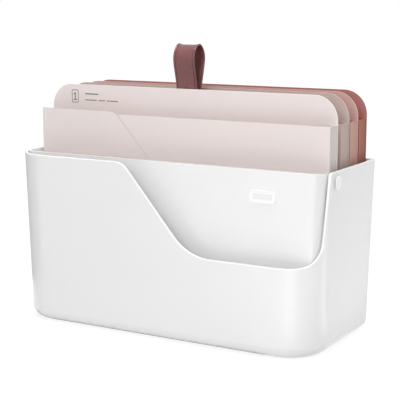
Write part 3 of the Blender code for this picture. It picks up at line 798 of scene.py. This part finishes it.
def side_edge():
    """Edge of the window on the right, in side view, from the level stretch up to the rim."""
    rise = TUB_RIM - WINDOW_LEVEL
    bend = QUARTER - SIDE_LEAN
    foot_y = SIDE_SETBACK - half_depth(WINDOW_LEVEL)
    top_y = foot_y + rise * math.tan(SIDE_LEAN)
    toe = arc((foot_y - SIDE_TOE_RADIUS * math.tan(bend / 2), WINDOW_LEVEL + SIDE_TOE_RADIUS),
              SIDE_TOE_RADIUS, -QUARTER, -QUARTER + bend, EDGE_STEPS)
    crest = arc((top_y + SIDE_CREST_RADIUS * math.tan(bend / 2), TUB_RIM - SIDE_CREST_RADIUS),
                SIDE_CREST_RADIUS, QUARTER + bend, QUARTER, SMALL_CORNER_STEPS)
    start, end = Vector(toe[-1]), Vector(crest[0])
    line = [tuple(start.lerp(end, i / LINE_STEPS)) for i in range(1, LINE_STEPS)]
    return toe + line + crest


def wall_stations():
    """Places round the plan, each with the height of the wall's edge there."""
    front_left = [(corner_place(-1, -1, FRONT_CORNER, 2 * QUARTER + QUARTER * i / CORNER_STEPS), TUB_RIM)
                  for i in range(CORNER_STEPS + 1)]
    slope = sloping_edge(WINDOW_CREST_X, TUB_RIM, TUB_RIM - WINDOW_LEVEL, WINDOW_SLOPE,
                         WINDOW_CREST_RADIUS, WINDOW_TOE_RADIUS)
    front = [(front_place(x), z) for x, z in slope]
    side = side_edge()
    first = math.asin((side[0][0] - FRONT_CORNER + half_depth(WINDOW_LEVEL)) / FRONT_CORNER)
    level = [(corner_place(1, -1, FRONT_CORNER, -QUARTER + (first + QUARTER) * i / SMALL_CORNER_STEPS),
              WINDOW_LEVEL) for i in range(SMALL_CORNER_STEPS)]
    right = [(right_place(y, z), z) for y, z in side]
    rear = []
    for side_x, start in ((1, 0), (-1, QUARTER)):
        rear += [(corner_place(side_x, 1, REAR_CORNER, start + QUARTER * i / SMALL_CORNER_STEPS), TUB_RIM)
                 for i in range(SMALL_CORNER_STEPS + 1)]
    return front_left + front + level + right + rear


stations = wall_stations()
print("places round the tub's plan:", len(stations))

# %% [markdown]
# Now the tub itself. A real one is a single shot of plastic with an even wall, rounded where the
# floor meets the walls. Here a ring round the underside is extruded along the wall's section: out
# over the fillet, up the outside, across the edge, down the inside and on to the inner floor. A
# bevel rounds both sides of the rim, and a plain rod drills the two pin holes and the four
# shallow seats for the feet. Last, the faces of the window's upright edge get the purer white,
# which paints a highlight there.

# %% Tub: extrude, round and drill
FILLET_STEPS = 10
FILLET_HOLD = 0.003
FEET = ("front_left", "front_right", "rear_left", "rear_right")
SEAT_GAP = 0.0003
PIN_SHANK_RADIUS = 0.003
HOLE_CLEARANCE = 0.0003
DRILL_LENGTH = 0.016
HIGHLIGHT_EDGE_FACING = 0.5
HIGHLIGHT_EDGE_FRONT = -0.052


def tub_rings():
    """Rings up the outside, over the edge and down the inside."""
    outer = [(inset, UNDERSIDE + fall) for inset, fall in
             arc((BASE_FILLET, BASE_FILLET), BASE_FILLET, 3 * QUARTER, 2 * QUARTER, FILLET_STEPS)]
    radius = BASE_FILLET - TUB_WALL
    inner = [(TUB_WALL + radius + across, UNDERSIDE + TUB_FLOOR + radius + up)
             for across, up in arc((0, 0), radius, 2 * QUARTER, 3 * QUARTER, FILLET_STEPS)]
    rings = [[(*place(z, inset), z) for place, _ in stations]
             for inset, z in [(BASE_FILLET + FILLET_HOLD, UNDERSIDE)] + outer]
    rings.append([(*place(painted_light_edge, 0), painted_light_edge) for place, painted_light_edge in stations])
    rings.append([(*place(painted_light_edge, TUB_WALL), painted_light_edge) for place, painted_light_edge in stations])
    inner_hold = (BASE_FILLET + FILLET_HOLD, UNDERSIDE + TUB_FLOOR)
    rings += [[(*place(z, inset), z) for place, _ in stations] for inset, z in inner + [inner_hold]]
    return rings


def pin_centre(side):
    """Middle of a pin's cap, on its axis."""
    low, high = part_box("pivot_pin_" + side)
    return (low + high) / 2


def drill_pin_holes(bm):
    """Both holes for the pins."""
    for side in ("left", "right"):
        drill(bm, PIN_SHANK_RADIUS + HOLE_CLEARANCE, pin_centre(side), X_AXIS, DRILL_LENGTH)


def sink_foot_seat(bm, corner):
    """Shallow round seat for a foot in the tub's underside."""
    low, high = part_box("foot_" + corner)
    centre = Vector(((low.x + high.x) / 2, (low.y + high.y) / 2, UNDERSIDE))
    depth = high.z + SEAT_GAP - UNDERSIDE
    drill(bm, (high.x - low.x) / 2 + SEAT_GAP, centre, Z_AXIS, 2 * depth)


# Painted highlight: the rim faces of the window's upright edge get the purer white.
def paint_highlight_on_upright_edge(bm):
    """Paint a highlight on the window's upright edge on the right wall with the second finish."""
    for face in bm.faces:
        spot = face.calc_center_median()
        on_wall = spot.x > half_width(spot.z) - TUB_WALL
        if on_wall and HIGHLIGHT_EDGE_FRONT < spot.y < 0 and face.normal.y < -HIGHLIGHT_EDGE_FACING:
            face.material_index = 1


def make_tub():
    """Moulded tub."""
    bm = loft(tub_rings())
    close_up(bm)
    break_edges(bm, RIM_ROUNDING, segments=4)
    drill_pin_holes(bm)
    for corner in FEET:
        sink_foot_seat(bm, corner)
    paint_highlight_on_upright_edge(bm)
    make_piece("tub_moulding", bm, [tub_white, pure_white_and_edge_highlight], "tub", ["tub"])


make_tub()

# %% [markdown]
# The feet are soft discs pressed into their seats, a millimetre proud, so that the tray doesn't
# slide. Each one is turned from a short profile with a rounded lower rim and a shallow dish, as
# such discs have from their punch.

# %% Feet
FOOT_ROUNDING = 0.0003
FOOT_DISH = 0.0001
FOOT_ARC_STEPS = 4
FLAT_SHARE, DISH_SHARE = 0.7, 0.6


def make_foot(corner):
    """Round rubber foot."""
    low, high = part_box("foot_" + corner)
    radius = (high.x - low.x) / 2
    centre = Vector(((low.x + high.x) / 2, (low.y + high.y) / 2, 0.0))
    profile = [(0, high.z), (radius - FOOT_ROUNDING, high.z), (radius, high.z - FOOT_ROUNDING)]
    profile += arc((radius - FOOT_ROUNDING, low.z + FOOT_ROUNDING), FOOT_ROUNDING,
                   0, -QUARTER, FOOT_ARC_STEPS)
    profile += [(radius * FLAT_SHARE, low.z), (radius * DISH_SHARE, low.z + FOOT_DISH),
                (0, low.z + FOOT_DISH)]
    bm = turn(profile, centre, Z_AXIS)
    make_piece("foot_pad_" + corner, bm, [rubber], "tub", ["foot_" + corner])


for corner in FEET:
    make_foot(corner)

# %% [markdown]
# The divider is an upright board whose ends bend back along the inside of the tub's round
# corners and end in ears for the pins. Its path in plan is a straight stretch, a small bend, a
# wide bend along the corner and a straight ear, and its lower edge changes along that path. A
# closed section is extruded along the path from one ear to the other, which keeps the thickness
# even.

# %% Divider: path and edges
DIVIDER_WALL = 0.0027
END_CLEARANCE = 0.0012
END_RADIUS = 0.005
LOWER_CORNER = 0.016
ARM_LEVEL = UNDERSIDE + 0.070
EAR_RADIUS = 0.0105
WRAP_FALL = 0.0021
BEND_STEPS = 8
WRAP_STEPS = 14
EAR_STEPS = 14
LOWER_CORNER_STEPS = 10
CORNER_SHARES = [1 - i / LOWER_CORNER_STEPS for i in range(1, LOWER_CORNER_STEPS + 1)]

divider_low, divider_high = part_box("divider")
DIVIDER_FRONT = divider_low.y
PIN_AXIS = pin_centre("right")


def divider_path(z, depth_in):
    """Right half of the divider's plan at a height; depth_in is 0 on its front face."""
    centre_x = half_width(z) - FRONT_CORNER
    centre_y = FRONT_CORNER - half_depth(z)
    reach = FRONT_CORNER - TUB_WALL - END_CLEARANCE
    bend_y = DIVIDER_FRONT + END_RADIUS
    bend_x = centre_x + math.sqrt((reach - END_RADIUS) ** 2 - (bend_y - centre_y) ** 2)
    bend_angle = math.atan2(bend_y - centre_y, bend_x - centre_x)
    front = [(0, DIVIDER_FRONT + depth_in), (bend_x - LOWER_CORNER, DIVIDER_FRONT + depth_in)]
    front += [(bend_x - LOWER_CORNER * share, DIVIDER_FRONT + depth_in) for share in CORNER_SHARES]
    bend = arc((bend_x, bend_y), END_RADIUS - depth_in, -QUARTER, bend_angle, BEND_STEPS)
    wrap = arc((centre_x, centre_y), reach - depth_in, bend_angle, 0, WRAP_STEPS)
    ear = [(centre_x + reach - depth_in, PIN_AXIS.y + EAR_RADIUS * math.sin(QUARTER * i / EAR_STEPS))
           for i in range(EAR_STEPS + 1)]
    return front + bend[1:] + wrap[1:] + ear


def divider_edges():
    """Lower and upper edge of the divider at each point of its path."""
    low = divider_low.z
    flat = divider_path(low, 0)
    run = [0.0]
    for here, there in zip(flat, flat[1:]):
        run.append(run[-1] + math.dist(here, there))
    board_end = 1 + len(CORNER_SHARES)
    arm_start = board_end + BEND_STEPS
    ear_start = len(flat) - 1 - EAR_STEPS
    corner_top = low + LOWER_CORNER
    ear_low = PIN_AXIS.z - EAR_RADIUS
    edges = []
    for index, distance in enumerate(run):
        lower = low
        upper = divider_high.z
        if index >= ear_start:
            turn_share = math.cos(QUARTER * (index - ear_start) / EAR_STEPS)
            lower = PIN_AXIS.z - EAR_RADIUS * turn_share
            upper = PIN_AXIS.z + (EAR_RADIUS - WRAP_FALL) * turn_share
        elif index >= arm_start:
            share = (distance - run[arm_start]) / (run[ear_start] - run[arm_start])
            lower = ARM_LEVEL + (ear_low - ARM_LEVEL) * share
            upper = divider_high.z - WRAP_FALL * share
        elif index >= board_end:
            share = (distance - run[board_end]) / (run[arm_start] - run[board_end])
            lower = corner_top + (ARM_LEVEL - corner_top) * share
        elif distance > run[board_end] - LOWER_CORNER:
            side = distance - run[board_end] + LOWER_CORNER
            lower = corner_top - math.sqrt(LOWER_CORNER ** 2 - side ** 2)
        edges.append((lower, upper))
    return edges


edges = divider_edges()
print("divider's path has", len(edges), "places on each half")

# %% [markdown]
# With the path known, the divider is one extrusion. Its cut edges are rounded by a bevel, as the
# moulder breaks every edge, and the two ears are drilled for the pins.

# %% Divider: extrude, round and drill
DIVIDER_ROUNDING = 0.0006
SECTION_ROWS = 6


def divider_ring(index, lower, upper, mirror):
    """Closed line round the divider's thickness at one place of its path."""
    levels = [lower + (upper - lower) * i / SECTION_ROWS for i in range(SECTION_ROWS + 1)]
    outer = [(divider_path(z, 0)[index], z) for z in levels]
    inner = [(divider_path(z, DIVIDER_WALL)[index], z) for z in reversed(levels)]
    return [(mirror * x, y, z) for (x, y), z in outer + inner]


def make_divider():
    """Moulded divider."""
    right, left = ([divider_ring(i, lower, upper, mirror) for i, (lower, upper) in enumerate(edges)]
                   for mirror in (1, -1))
    bm = loft(left[:0:-1] + right)
    close_up(bm)
    break_edges(bm, DIVIDER_ROUNDING, segments=3)
    drill_pin_holes(bm)
    make_piece("divider_moulding", bm, [divider_white], "divider", ["divider"])


make_divider()

# %% [markdown]
# Each pin is a stud with a round domed cap that sits on the outside of the tub. The cap's
# underside is chamfered, so a thin shadow sets it off from the wall. It is turned about the pin's
# own axis, so the same profile serves both sides with its distances mirrored.

# %% Pins
CAP_THICKNESS = 0.0019
CAP_CHAMFER = 0.0010
CAP_NECK_INSET = 0.0025
CAP_ROUNDING = 0.0004
CAP_DOME = 0.0005
CAP_BEND = 0.8 * QUARTER
CAP_BEND_STEPS = 5
CAP_DOME_STEPS = 8


def make_pin(side, mirror):
    """Pin with a round cap outside the tub's wall."""
    low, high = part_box("pivot_pin_" + side)
    inner, outer = sorted((abs(low.x), abs(high.x)))
    radius = (high.z - low.z) / 2
    centre = Vector((0, (low.y + high.y) / 2, (low.z + high.z) / 2))
    seat = outer - CAP_THICKNESS
    shoulder = outer - CAP_DOME
    profile = [(0, inner), (PIN_SHANK_RADIUS, inner), (PIN_SHANK_RADIUS, seat),
               (radius - CAP_NECK_INSET, seat), (radius, seat + CAP_CHAMFER)]
    profile += arc((radius - CAP_ROUNDING, shoulder - CAP_ROUNDING), CAP_ROUNDING,
                   0, CAP_BEND, CAP_BEND_STEPS)
    rim, rise = profile[-1]
    for i in range(1, CAP_DOME_STEPS + 1):
        angle = QUARTER * i / CAP_DOME_STEPS
        profile.append((rim * math.cos(angle), rise + (outer - rise) * math.sin(angle)))
    bm = turn([(reach, mirror * along) for reach, along in profile], centre, X_AXIS)
    make_piece("pin_" + side, bm, [pure_white_and_edge_highlight], "divider", ["pivot_pin_" + side])


make_pin("left", -1)
make_pin("right", 1)

# %% [markdown]
# On the divider's front sits a small raised plate with rounded corners, near the upper right. It
# is left bare. A rounded rectangle is drawn as one face, extruded to its height and given a
# shallow field inside a wide border. The border is a purer white than the field, and its
# height throws a thin shadow, so that the plate reads from a step away.

# %% Bare plate on the divider
PLATE_LEFT, PLATE_RIGHT = 0.0932, 0.1192
PLATE_BOTTOM, PLATE_TOP = 0.1398, 0.1514
PLATE_CORNER = 0.0036
PLATE_RAISE = 0.0010
PLATE_BORDER = 0.0032
PLATE_FIELD = 0.0004
PLATE_SINK = 0.0002
PLATE_ROUNDING = 0.0002
FLAT_FACING = 0.99


def rounded_face(bm, left, right, bottom, top, y, radius, steps=6):
    """Upright rectangle that faces the front, with round corners."""
    verts = [bm.verts.new((x, y, z)) for x, z in
             ((left, bottom), (right, bottom), (right, top), (left, top))]
    bm.faces.new(verts)
    made = bmesh.ops.bevel(bm, geom=verts, offset=radius, offset_type="OFFSET", segments=steps,
                           profile=0.5, affect="VERTICES", material=-1)
    corner = made["verts"][0]
    return corner.link_faces[0]


def thicken(bm, faces, depth):
    """Give flat faces a depth along Y."""
    grown = bmesh.ops.extrude_face_region(bm, geom=list(faces))["geom"]
    moved = [item for item in grown if isinstance(item, bmesh.types.BMVert)]
    bmesh.ops.translate(bm, verts=moved, vec=(0, depth, 0))
    return [item for item in grown if isinstance(item, bmesh.types.BMFace)]


def make_plate():
    """Bare raised plate."""
    bm = bmesh.new()
    back = rounded_face(bm, PLATE_LEFT, PLATE_RIGHT, PLATE_BOTTOM, PLATE_TOP,
                        DIVIDER_FRONT + PLATE_SINK, PLATE_CORNER)
    front = thicken(bm, [back], -PLATE_RAISE - PLATE_SINK)
    bmesh.ops.inset_region(bm, faces=front, thickness=PLATE_BORDER)
    bmesh.ops.translate(bm, verts=list({vert for face in front for vert in face.verts}),
                        vec=(0, PLATE_FIELD, 0))
    break_edges(bm, PLATE_ROUNDING, segments=2)
    to_front = [face for face in bm.faces if face.normal.y < -FLAT_FACING]
    field = max(to_front, key=lambda face: face.calc_area())
    field.material_index = 1
    make_piece("divider_plate", bm, [pure_white_and_edge_highlight, tub_white], "divider")


make_plate()

# %% [markdown]
# Each folder is made of four pieces of board. The back board is tall with wide round corners, the
# pocket board has a straight top, and a front sleeve repeats the slope of the tub's window. All
# three are flat, so each is one face with the right outline that is extruded to the board's
# thickness and broken at its edges. The faces and the cut edges get their own finish.

# %% Folder boards
BACK_CORNER = 0.0235
LOWER_BOARD_CORNER = 0.0015
LOWER_BOARD_STEPS = 5
BOARD_BREAK = 0.00022
SLEEVE_DROP = 0.084
SLEEVE_CREST_X = -0.0707
SLEEVE_SLOPE = math.radians(48.5)
SLEEVE_CREST_RADIUS = 0.014
SLEEVE_TOE_RADIUS = 0.050
RIVET_SHANK_RADIUS = 0.002


def lower_corners(low, high):
    """Both lower corners of a board, from right to left."""
    radius = LOWER_BOARD_CORNER
    right = arc((high.x - radius, low.z + radius), radius, 0, -QUARTER, LOWER_BOARD_STEPS)
    left = arc((low.x + radius, low.z + radius), radius, -QUARTER, -2 * QUARTER, LOWER_BOARD_STEPS)
    return right + left


def back_outline(low, high):
    """Tall board with wide round upper corners."""
    radius = BACK_CORNER
    left = arc((low.x + radius, high.z - radius), radius, 2 * QUARTER, QUARTER, CORNER_STEPS)
    right = arc((high.x - radius, high.z - radius), radius, QUARTER, 0, CORNER_STEPS)
    return left + right + lower_corners(low, high)


def pocket_outline(low, high):
    """Board with a straight top."""
    return [(low.x, high.z), (high.x, high.z)] + lower_corners(low, high)


def sleeve_outline(low, high):
    """Board that is tall on the left and slopes down to the right."""
    slope = sloping_edge(SLEEVE_CREST_X, high.z, SLEEVE_DROP, SLEEVE_SLOPE,
                         SLEEVE_CREST_RADIUS, SLEEVE_TOE_RADIUS)
    return [(low.x, high.z)] + slope + [(high.x, high.z - SLEEVE_DROP)] + lower_corners(low, high)


def board_body(node, outline):
    """Flat board in the place of a node, with its edges broken and its cut edges marked."""
    low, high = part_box(node)
    bm = bmesh.new()
    face = bm.faces.new([bm.verts.new((x, low.y, z)) for x, z in outline(low, high)])
    thicken(bm, [face], high.y - low.y)
    break_edges(bm, BOARD_BREAK, segments=2)
    bm.normal_update()
    # Cut edges get the second finish: painted shade on sleeves, a painted highlight on back boards.
    for face in bm.faces:
        face.material_index = 0 if abs(face.normal.y) > FLAT_FACING else 1
    return bm


def make_board(number, part, outline, name):
    """One board of a folder."""
    node = f"folder_{number}_{part}"
    bm = board_body(node, outline)
    if node == "folder_1_back_board":
        low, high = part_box("strap_rivet")
        drill(bm, RIVET_SHANK_RADIUS + HOLE_CLEARANCE, (low + high) / 2, Y_AXIS, DRILL_LENGTH)
    finishes = [board_faces[number], edge_shade_and_highlight_finishes[number, part]]
    make_piece(f"folder_{number}_{name}", bm, finishes, f"folder_{number}", [node])


for number in BOARD_TONES:
    make_board(number, "sleeve", sleeve_outline, "front_sleeve")
    make_board(number, "pocket_board", pocket_outline, "pocket_front")
    make_board(number, "back_board", back_outline, "tall_back")

# %% [markdown]
# A pleated strip closes each pocket at both sides and along the bottom, with a glued flange on
# each board. Its section is a shallow W with two flanges. The section is extruded down one side,
# along the bottom and up the other, mitred at the corners, and its folds are softened, because
# board never folds to a knife edge.

# %% Folder gussets
GUSSET_WALL = 0.0008
GUSSET_PLEAT = 0.0009
GUSSET_FLANGE = 0.008
FOLD_SOFTNESS = 0.0003


def gusset_section(depth):
    """Points of the section: (distance along Y, distance in from the outer line)."""
    wall, middle = GUSSET_WALL, depth / 2
    return [(0, GUSSET_FLANGE), (0, 0), (middle, GUSSET_PLEAT), (depth, 0), (depth, GUSSET_FLANGE),
            (depth - wall, GUSSET_FLANGE), (depth - wall, wall), (middle, GUSSET_PLEAT + wall),
            (wall, wall), (wall, GUSSET_FLANGE)]


def make_gusset(number):
    """Pleated strip round a pocket."""
    node = f"folder_{number}_gusset"
    low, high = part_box(node)
    section = gusset_section(high.y - low.y)
    route = [(low.x, 1, high.z, 0), (low.x, 1, low.z, 1), (high.x, -1, low.z, 1), (high.x, -1, high.z, 0)]
    rings = [[(x + side * inward, low.y + along, z + lift * inward) for along, inward in section]
             for x, side, z, lift in route]
    bm = loft(rings)
    merge_doubles(bm)
    break_edges(bm, FOLD_SOFTNESS, segments=2)
    finishes = [shaded_pleat_papers[number]]
    make_piece(f"folder_{number}_shaded_pleats", bm, finishes, f"folder_{number}", [node])


for number in BOARD_TONES:
    make_gusset(number)

# %% [markdown]
# The first folder carries a small printed mark at its upper left: an outlined box with the number
# of the folder, and plain rules beside it, as a place for a title has. Print has almost no
# thickness, so the shapes stand only a few hundredths of a millimetre proud of the board. The
# number is drawn as one outline in shares of its height, with a flag and a foot. A rule is given
# by its left and right end, the height of its middle and its thickness.

# %% Printed mark on the first folder
INK_HEIGHT = 0.00005
INK_SINK = 0.00002
MARK_LEFT, MARK_RIGHT = -0.1353, -0.1270
MARK_BOTTOM, MARK_TOP = 0.2165, 0.2298
MARK_LINE = 0.0007
MARK_CORNER = 0.0013
NUMBER_HEIGHT = 0.0080
NUMBER_ONE_SHARES = ((-0.27, -0.50), (0.27, -0.50), (0.27, -0.38), (0.09, -0.38), (0.09, 0.50),
                     (-0.03, 0.50), (-0.25, 0.33), (-0.25, 0.19), (-0.07, 0.31), (-0.07, -0.38),
                     (-0.27, -0.38))
RULE_CORNER_SHARE = 0.3
RULES = ((-0.1186, -0.1025, 0.2260, 0.0012), (-0.1186, -0.1045, 0.2198, 0.0009),
         (-0.1025, -0.0945, 0.2198, 0.0009), (-0.0925, -0.0787, 0.2198, 0.0009))


def number_face(bm, height, centre_x, centre_z, y):
    """The number one as a flat upright face, centred on a place."""
    bm.faces.new([bm.verts.new((centre_x + x * height, y, centre_z + z * height))
                  for x, z in NUMBER_ONE_SHARES])


def make_mark():
    """Outlined box, number and rules, all in one print."""
    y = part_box("folder_1_back_board")[0].y + INK_SINK
    bm = bmesh.new()
    number_face(bm, NUMBER_HEIGHT, (MARK_LEFT + MARK_RIGHT) / 2, (MARK_BOTTOM + MARK_TOP) / 2, y)
    box_face = rounded_face(bm, MARK_LEFT, MARK_RIGHT, MARK_BOTTOM, MARK_TOP, y, MARK_CORNER, steps=4)
    bmesh.ops.inset_region(bm, faces=[box_face], thickness=MARK_LINE, use_boundary=True)
    bmesh.ops.delete(bm, geom=[box_face], context="FACES")
    for left, right, middle, thickness in RULES:
        rounded_face(bm, left, right, middle - thickness / 2, middle + thickness / 2, y,
                     thickness * RULE_CORNER_SHARE, steps=2)
    thicken(bm, list(bm.faces), -INK_HEIGHT - INK_SINK)
    make_piece("folder_1_mark", bm, [ink], "folder_1")


make_mark()

# %% [markdown]
# The pull strap is one ribbon of thick leather, folded into a standing loop whose two tails are
# riveted behind the first folder's back board. Its middle line is a smooth curve through a few
# points: straight at the rivet, bulging out above the board and round at the top. The same
# points are used as in the measured solid, so the loop stays where the model has it.

# %% Strap: its middle line
STRAP_WALL = 0.0018
STRAP_WIDEST_ABOVE_BOARD = 0.029
STRAP_FRONT_BULGE = 0.0061
STRAP_REAR_BULGE = 0.0151
STRAP_JOIN_ABOVE_RIVET = 0.009
STRAP_STEPS = 16

strap_low, strap_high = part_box("pull_strap")
rivet_low, rivet_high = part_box("strap_rivet")
back_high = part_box("folder_1_back_board")[1]
RIVET_CENTRE = (rivet_low + rivet_high) / 2


def strap_line():
    """Middle of the strap's thickness as (y, z), up its front leaf and down the rear one."""
    front = back_high.y + SEAT_GAP + STRAP_WALL / 2
    rear = front + STRAP_WALL + SEAT_GAP
    tail = strap_low.z
    join = RIVET_CENTRE.z + STRAP_JOIN_ABOVE_RIVET
    top = strap_high.z - STRAP_WALL / 2
    widest = back_high.z + STRAP_WIDEST_ABOVE_BOARD
    middle = front + (STRAP_REAR_BULGE - STRAP_FRONT_BULGE) / 2
    bow = top - widest
    knots = [
        (Vector((front, tail)), Vector((0, STRAP_JOIN_ABOVE_RIVET))),
        (Vector((front, back_high.z)), Vector((0, bow / 2))),
        (Vector((front - STRAP_FRONT_BULGE, widest)), Vector((0, bow / 2))),
        (Vector((middle, top)), Vector((STRAP_REAR_BULGE / 3, 0))),
        (Vector((front + STRAP_REAR_BULGE, widest)), Vector((0, -bow / 2))),
        (Vector((rear, join)), Vector((0, -bow))),
        (Vector((rear, tail)), Vector((0, -STRAP_JOIN_ABOVE_RIVET / 2))),
    ]
    line = []
    for (here, leave), (there, arrive) in zip(knots, knots[1:]):
        stretch = interpolate_bezier(here, here + leave, there - arrive, there, STRAP_STEPS + 1)
        line += stretch if not line else stretch[1:]
    return line


line = strap_line()
print("strap's middle line is", round(sum(math.dist(a, b) for a, b in zip(line, line[1:])), 4), "m long")

# %% [markdown]
# Leather that is bent hard curls the other way across its width, so both edges of the strap stand
# up at the top of the loop, and a little along its free sides. The section is a flat rounded
# oblong with a pressed crease along each edge. It is extruded along the middle line, and at each
# place its middle is pushed inwards, by a share that follows how tightly the line bends there.

# %% Strap: extrude the leather
STRAP_CURL = 0.0012
FREE_CURL_SHARE = 0.5
CURL_POWER = 6
FREE_RISE = 0.012
STRAP_EDGE_RADIUS = 0.0006
STRAP_EDGE_STEPS = 3
CREASE_INSET = 0.0014
CREASE_REACH = 0.0007
CREASE_DEPTH = 0.00035
CREASE_SHARES = ((1, 0), (0.5, 0.7), (0, 1), (-0.5, 0.7), (-1, 0))
WIDTH_STEPS = 10
BEND_BLUR = 6


def strap_face(reach):
    """Half of the strap's outer face from its right edge to its middle, with the pressed crease."""
    crease = reach - CREASE_INSET
    places = [(crease + along * CREASE_REACH, STRAP_WALL / 2 - deep * CREASE_DEPTH)
              for along, deep in CREASE_SHARES]
    inner = places[-1][0]
    flat = [(inner * (1 - 2 * i / WIDTH_STEPS), STRAP_WALL / 2) for i in range(1, WIDTH_STEPS // 2 + 1)]
    return places + flat


def strap_section():
    """Closed outline of the strap's section: (place across the width, place in the thickness)."""
    reach = (strap_high.x - strap_low.x) / 2 - STRAP_EDGE_RADIUS
    rise = STRAP_WALL / 2 - STRAP_EDGE_RADIUS
    right = strap_face(reach)
    face = right + [(-x, t) for x, t in right[-2::-1]]
    points = []
    for side_x, side_t, start in ((1, 1, 0), (-1, 1, 1), (-1, -1, 2), (1, -1, 3)):
        points += arc((side_x * reach, side_t * rise), STRAP_EDGE_RADIUS,
                      start * QUARTER, (start + 1) * QUARTER, STRAP_EDGE_STEPS)
        if start in (0, 2):
            points += [(side_x * x, side_t * t) for x, t in face]
    return points


def bend_shares(points):
    """How tightly the line bends at each point, from 0 to 1, blurred along the line."""
    turns = [0.0]
    for before, here, after in zip(points, points[1:], points[2:]):
        angle = abs((here - before).angle_signed(after - here))
        turns.append(angle / (after - before).length)
    turns.append(0.0)
    blurred = []
    for index in range(len(turns)):
        near = turns[max(index - BEND_BLUR, 0):index + BEND_BLUR + 1]
        blurred.append(sum(near) / len(near))
    return [value / max(blurred) for value in blurred]


def strap_rings():
    """Rings of the section along the middle line, with the edges curled outwards."""
    half = (strap_high.x - strap_low.x) / 2
    section = strap_section()
    shares = bend_shares(line)
    rings = []
    for index, point in enumerate(line):
        free = min(max((point.y - back_high.z) / FREE_RISE, 0.0), 1.0)
        curl_share = max(shares[index], FREE_CURL_SHARE) * free
        ahead = line[min(index + 1, len(line) - 1)] - line[max(index - 1, 0)]
        along = ahead.normalized()
        out = Vector((-along.y, along.x))
        ring = []
        for across, deep in section:
            curl = STRAP_CURL * curl_share * ((abs(across) / half) ** CURL_POWER - 1.0)
            spot = point + out * (deep + curl)
            ring.append((across, spot.x, spot.y))
        rings.append(ring)
    return rings


def make_strap():
    """Leather loop with burnished edges."""
    bm = loft(strap_rings())
    drill(bm, RIVET_SHANK_RADIUS + HOLE_CLEARANCE, RIVET_CENTRE, Y_AXIS, DRILL_LENGTH)
    painted_light_edge = (strap_high.x - strap_low.x) / 2 - STRAP_EDGE_RADIUS
    # Edge faces get the lighter finish, a painted highlight; crease faces get the dark finish.
    for face in bm.faces:
        across = abs(face.calc_center_median().x)
        if across > painted_light_edge:
            face.material_index = 1
        elif abs(across - painted_light_edge + CREASE_INSET) < CREASE_REACH / 2:
            face.material_index = 2
    finishes = [leather, leather_edge_highlight, leather_crease]
    strap = make_piece("strap_leather", bm, finishes, "folder_1", ["pull_strap"])
    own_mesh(strap)


make_strap()

# %% [markdown]
# A steel rivet holds both tails to the board. It is a spool: a shank and two low domed caps, and
# it is turned in one go about the line that goes through the board. Only its caps show, from the
# front pocket and from behind.

# %% Rivet
RIVET_CAP_THICKNESS = 0.001
RIVET_CAP_ROUNDING = 0.0004
RIVET_DOME = 0.0003
RIVET_BEND_STEPS = 4
RIVET_DOME_STEPS = 6


def cap_profile(radius, seat, outer):
    """Half of a low domed cap, from its rim to its middle."""
    way = 1 if outer > seat else -1
    flat = radius - RIVET_CAP_ROUNDING
    bend = arc((flat, -RIVET_CAP_ROUNDING), RIVET_CAP_ROUNDING, 0, QUARTER, RIVET_BEND_STEPS)
    dome = [(flat * math.cos(QUARTER * i / RIVET_DOME_STEPS),
             RIVET_DOME * math.sin(QUARTER * i / RIVET_DOME_STEPS)) for i in range(1, RIVET_DOME_STEPS + 1)]
    shoulder = outer - way * RIVET_DOME
    return [(radius, seat)] + [(reach, shoulder + way * rise) for reach, rise in bend + dome]


def make_rivet():
    """Spool-shaped rivet."""
    radius = (rivet_high.x - rivet_low.x) / 2
    front_seat = rivet_low.y + RIVET_CAP_THICKNESS
    rear_seat = rivet_high.y - RIVET_CAP_THICKNESS
    front = cap_profile(radius, front_seat, rivet_low.y)
    rear = cap_profile(radius, rear_seat, rivet_high.y)
    profile = front[::-1] + [(RIVET_SHANK_RADIUS, front_seat), (RIVET_SHANK_RADIUS, rear_seat)] + rear
    bm = turn(profile, Vector((RIVET_CENTRE.x, 0, RIVET_CENTRE.z)), Y_AXIS)
    make_piece("rivet_spool", bm, [steel], "folder_1", ["strap_rivet"])


make_rivet()
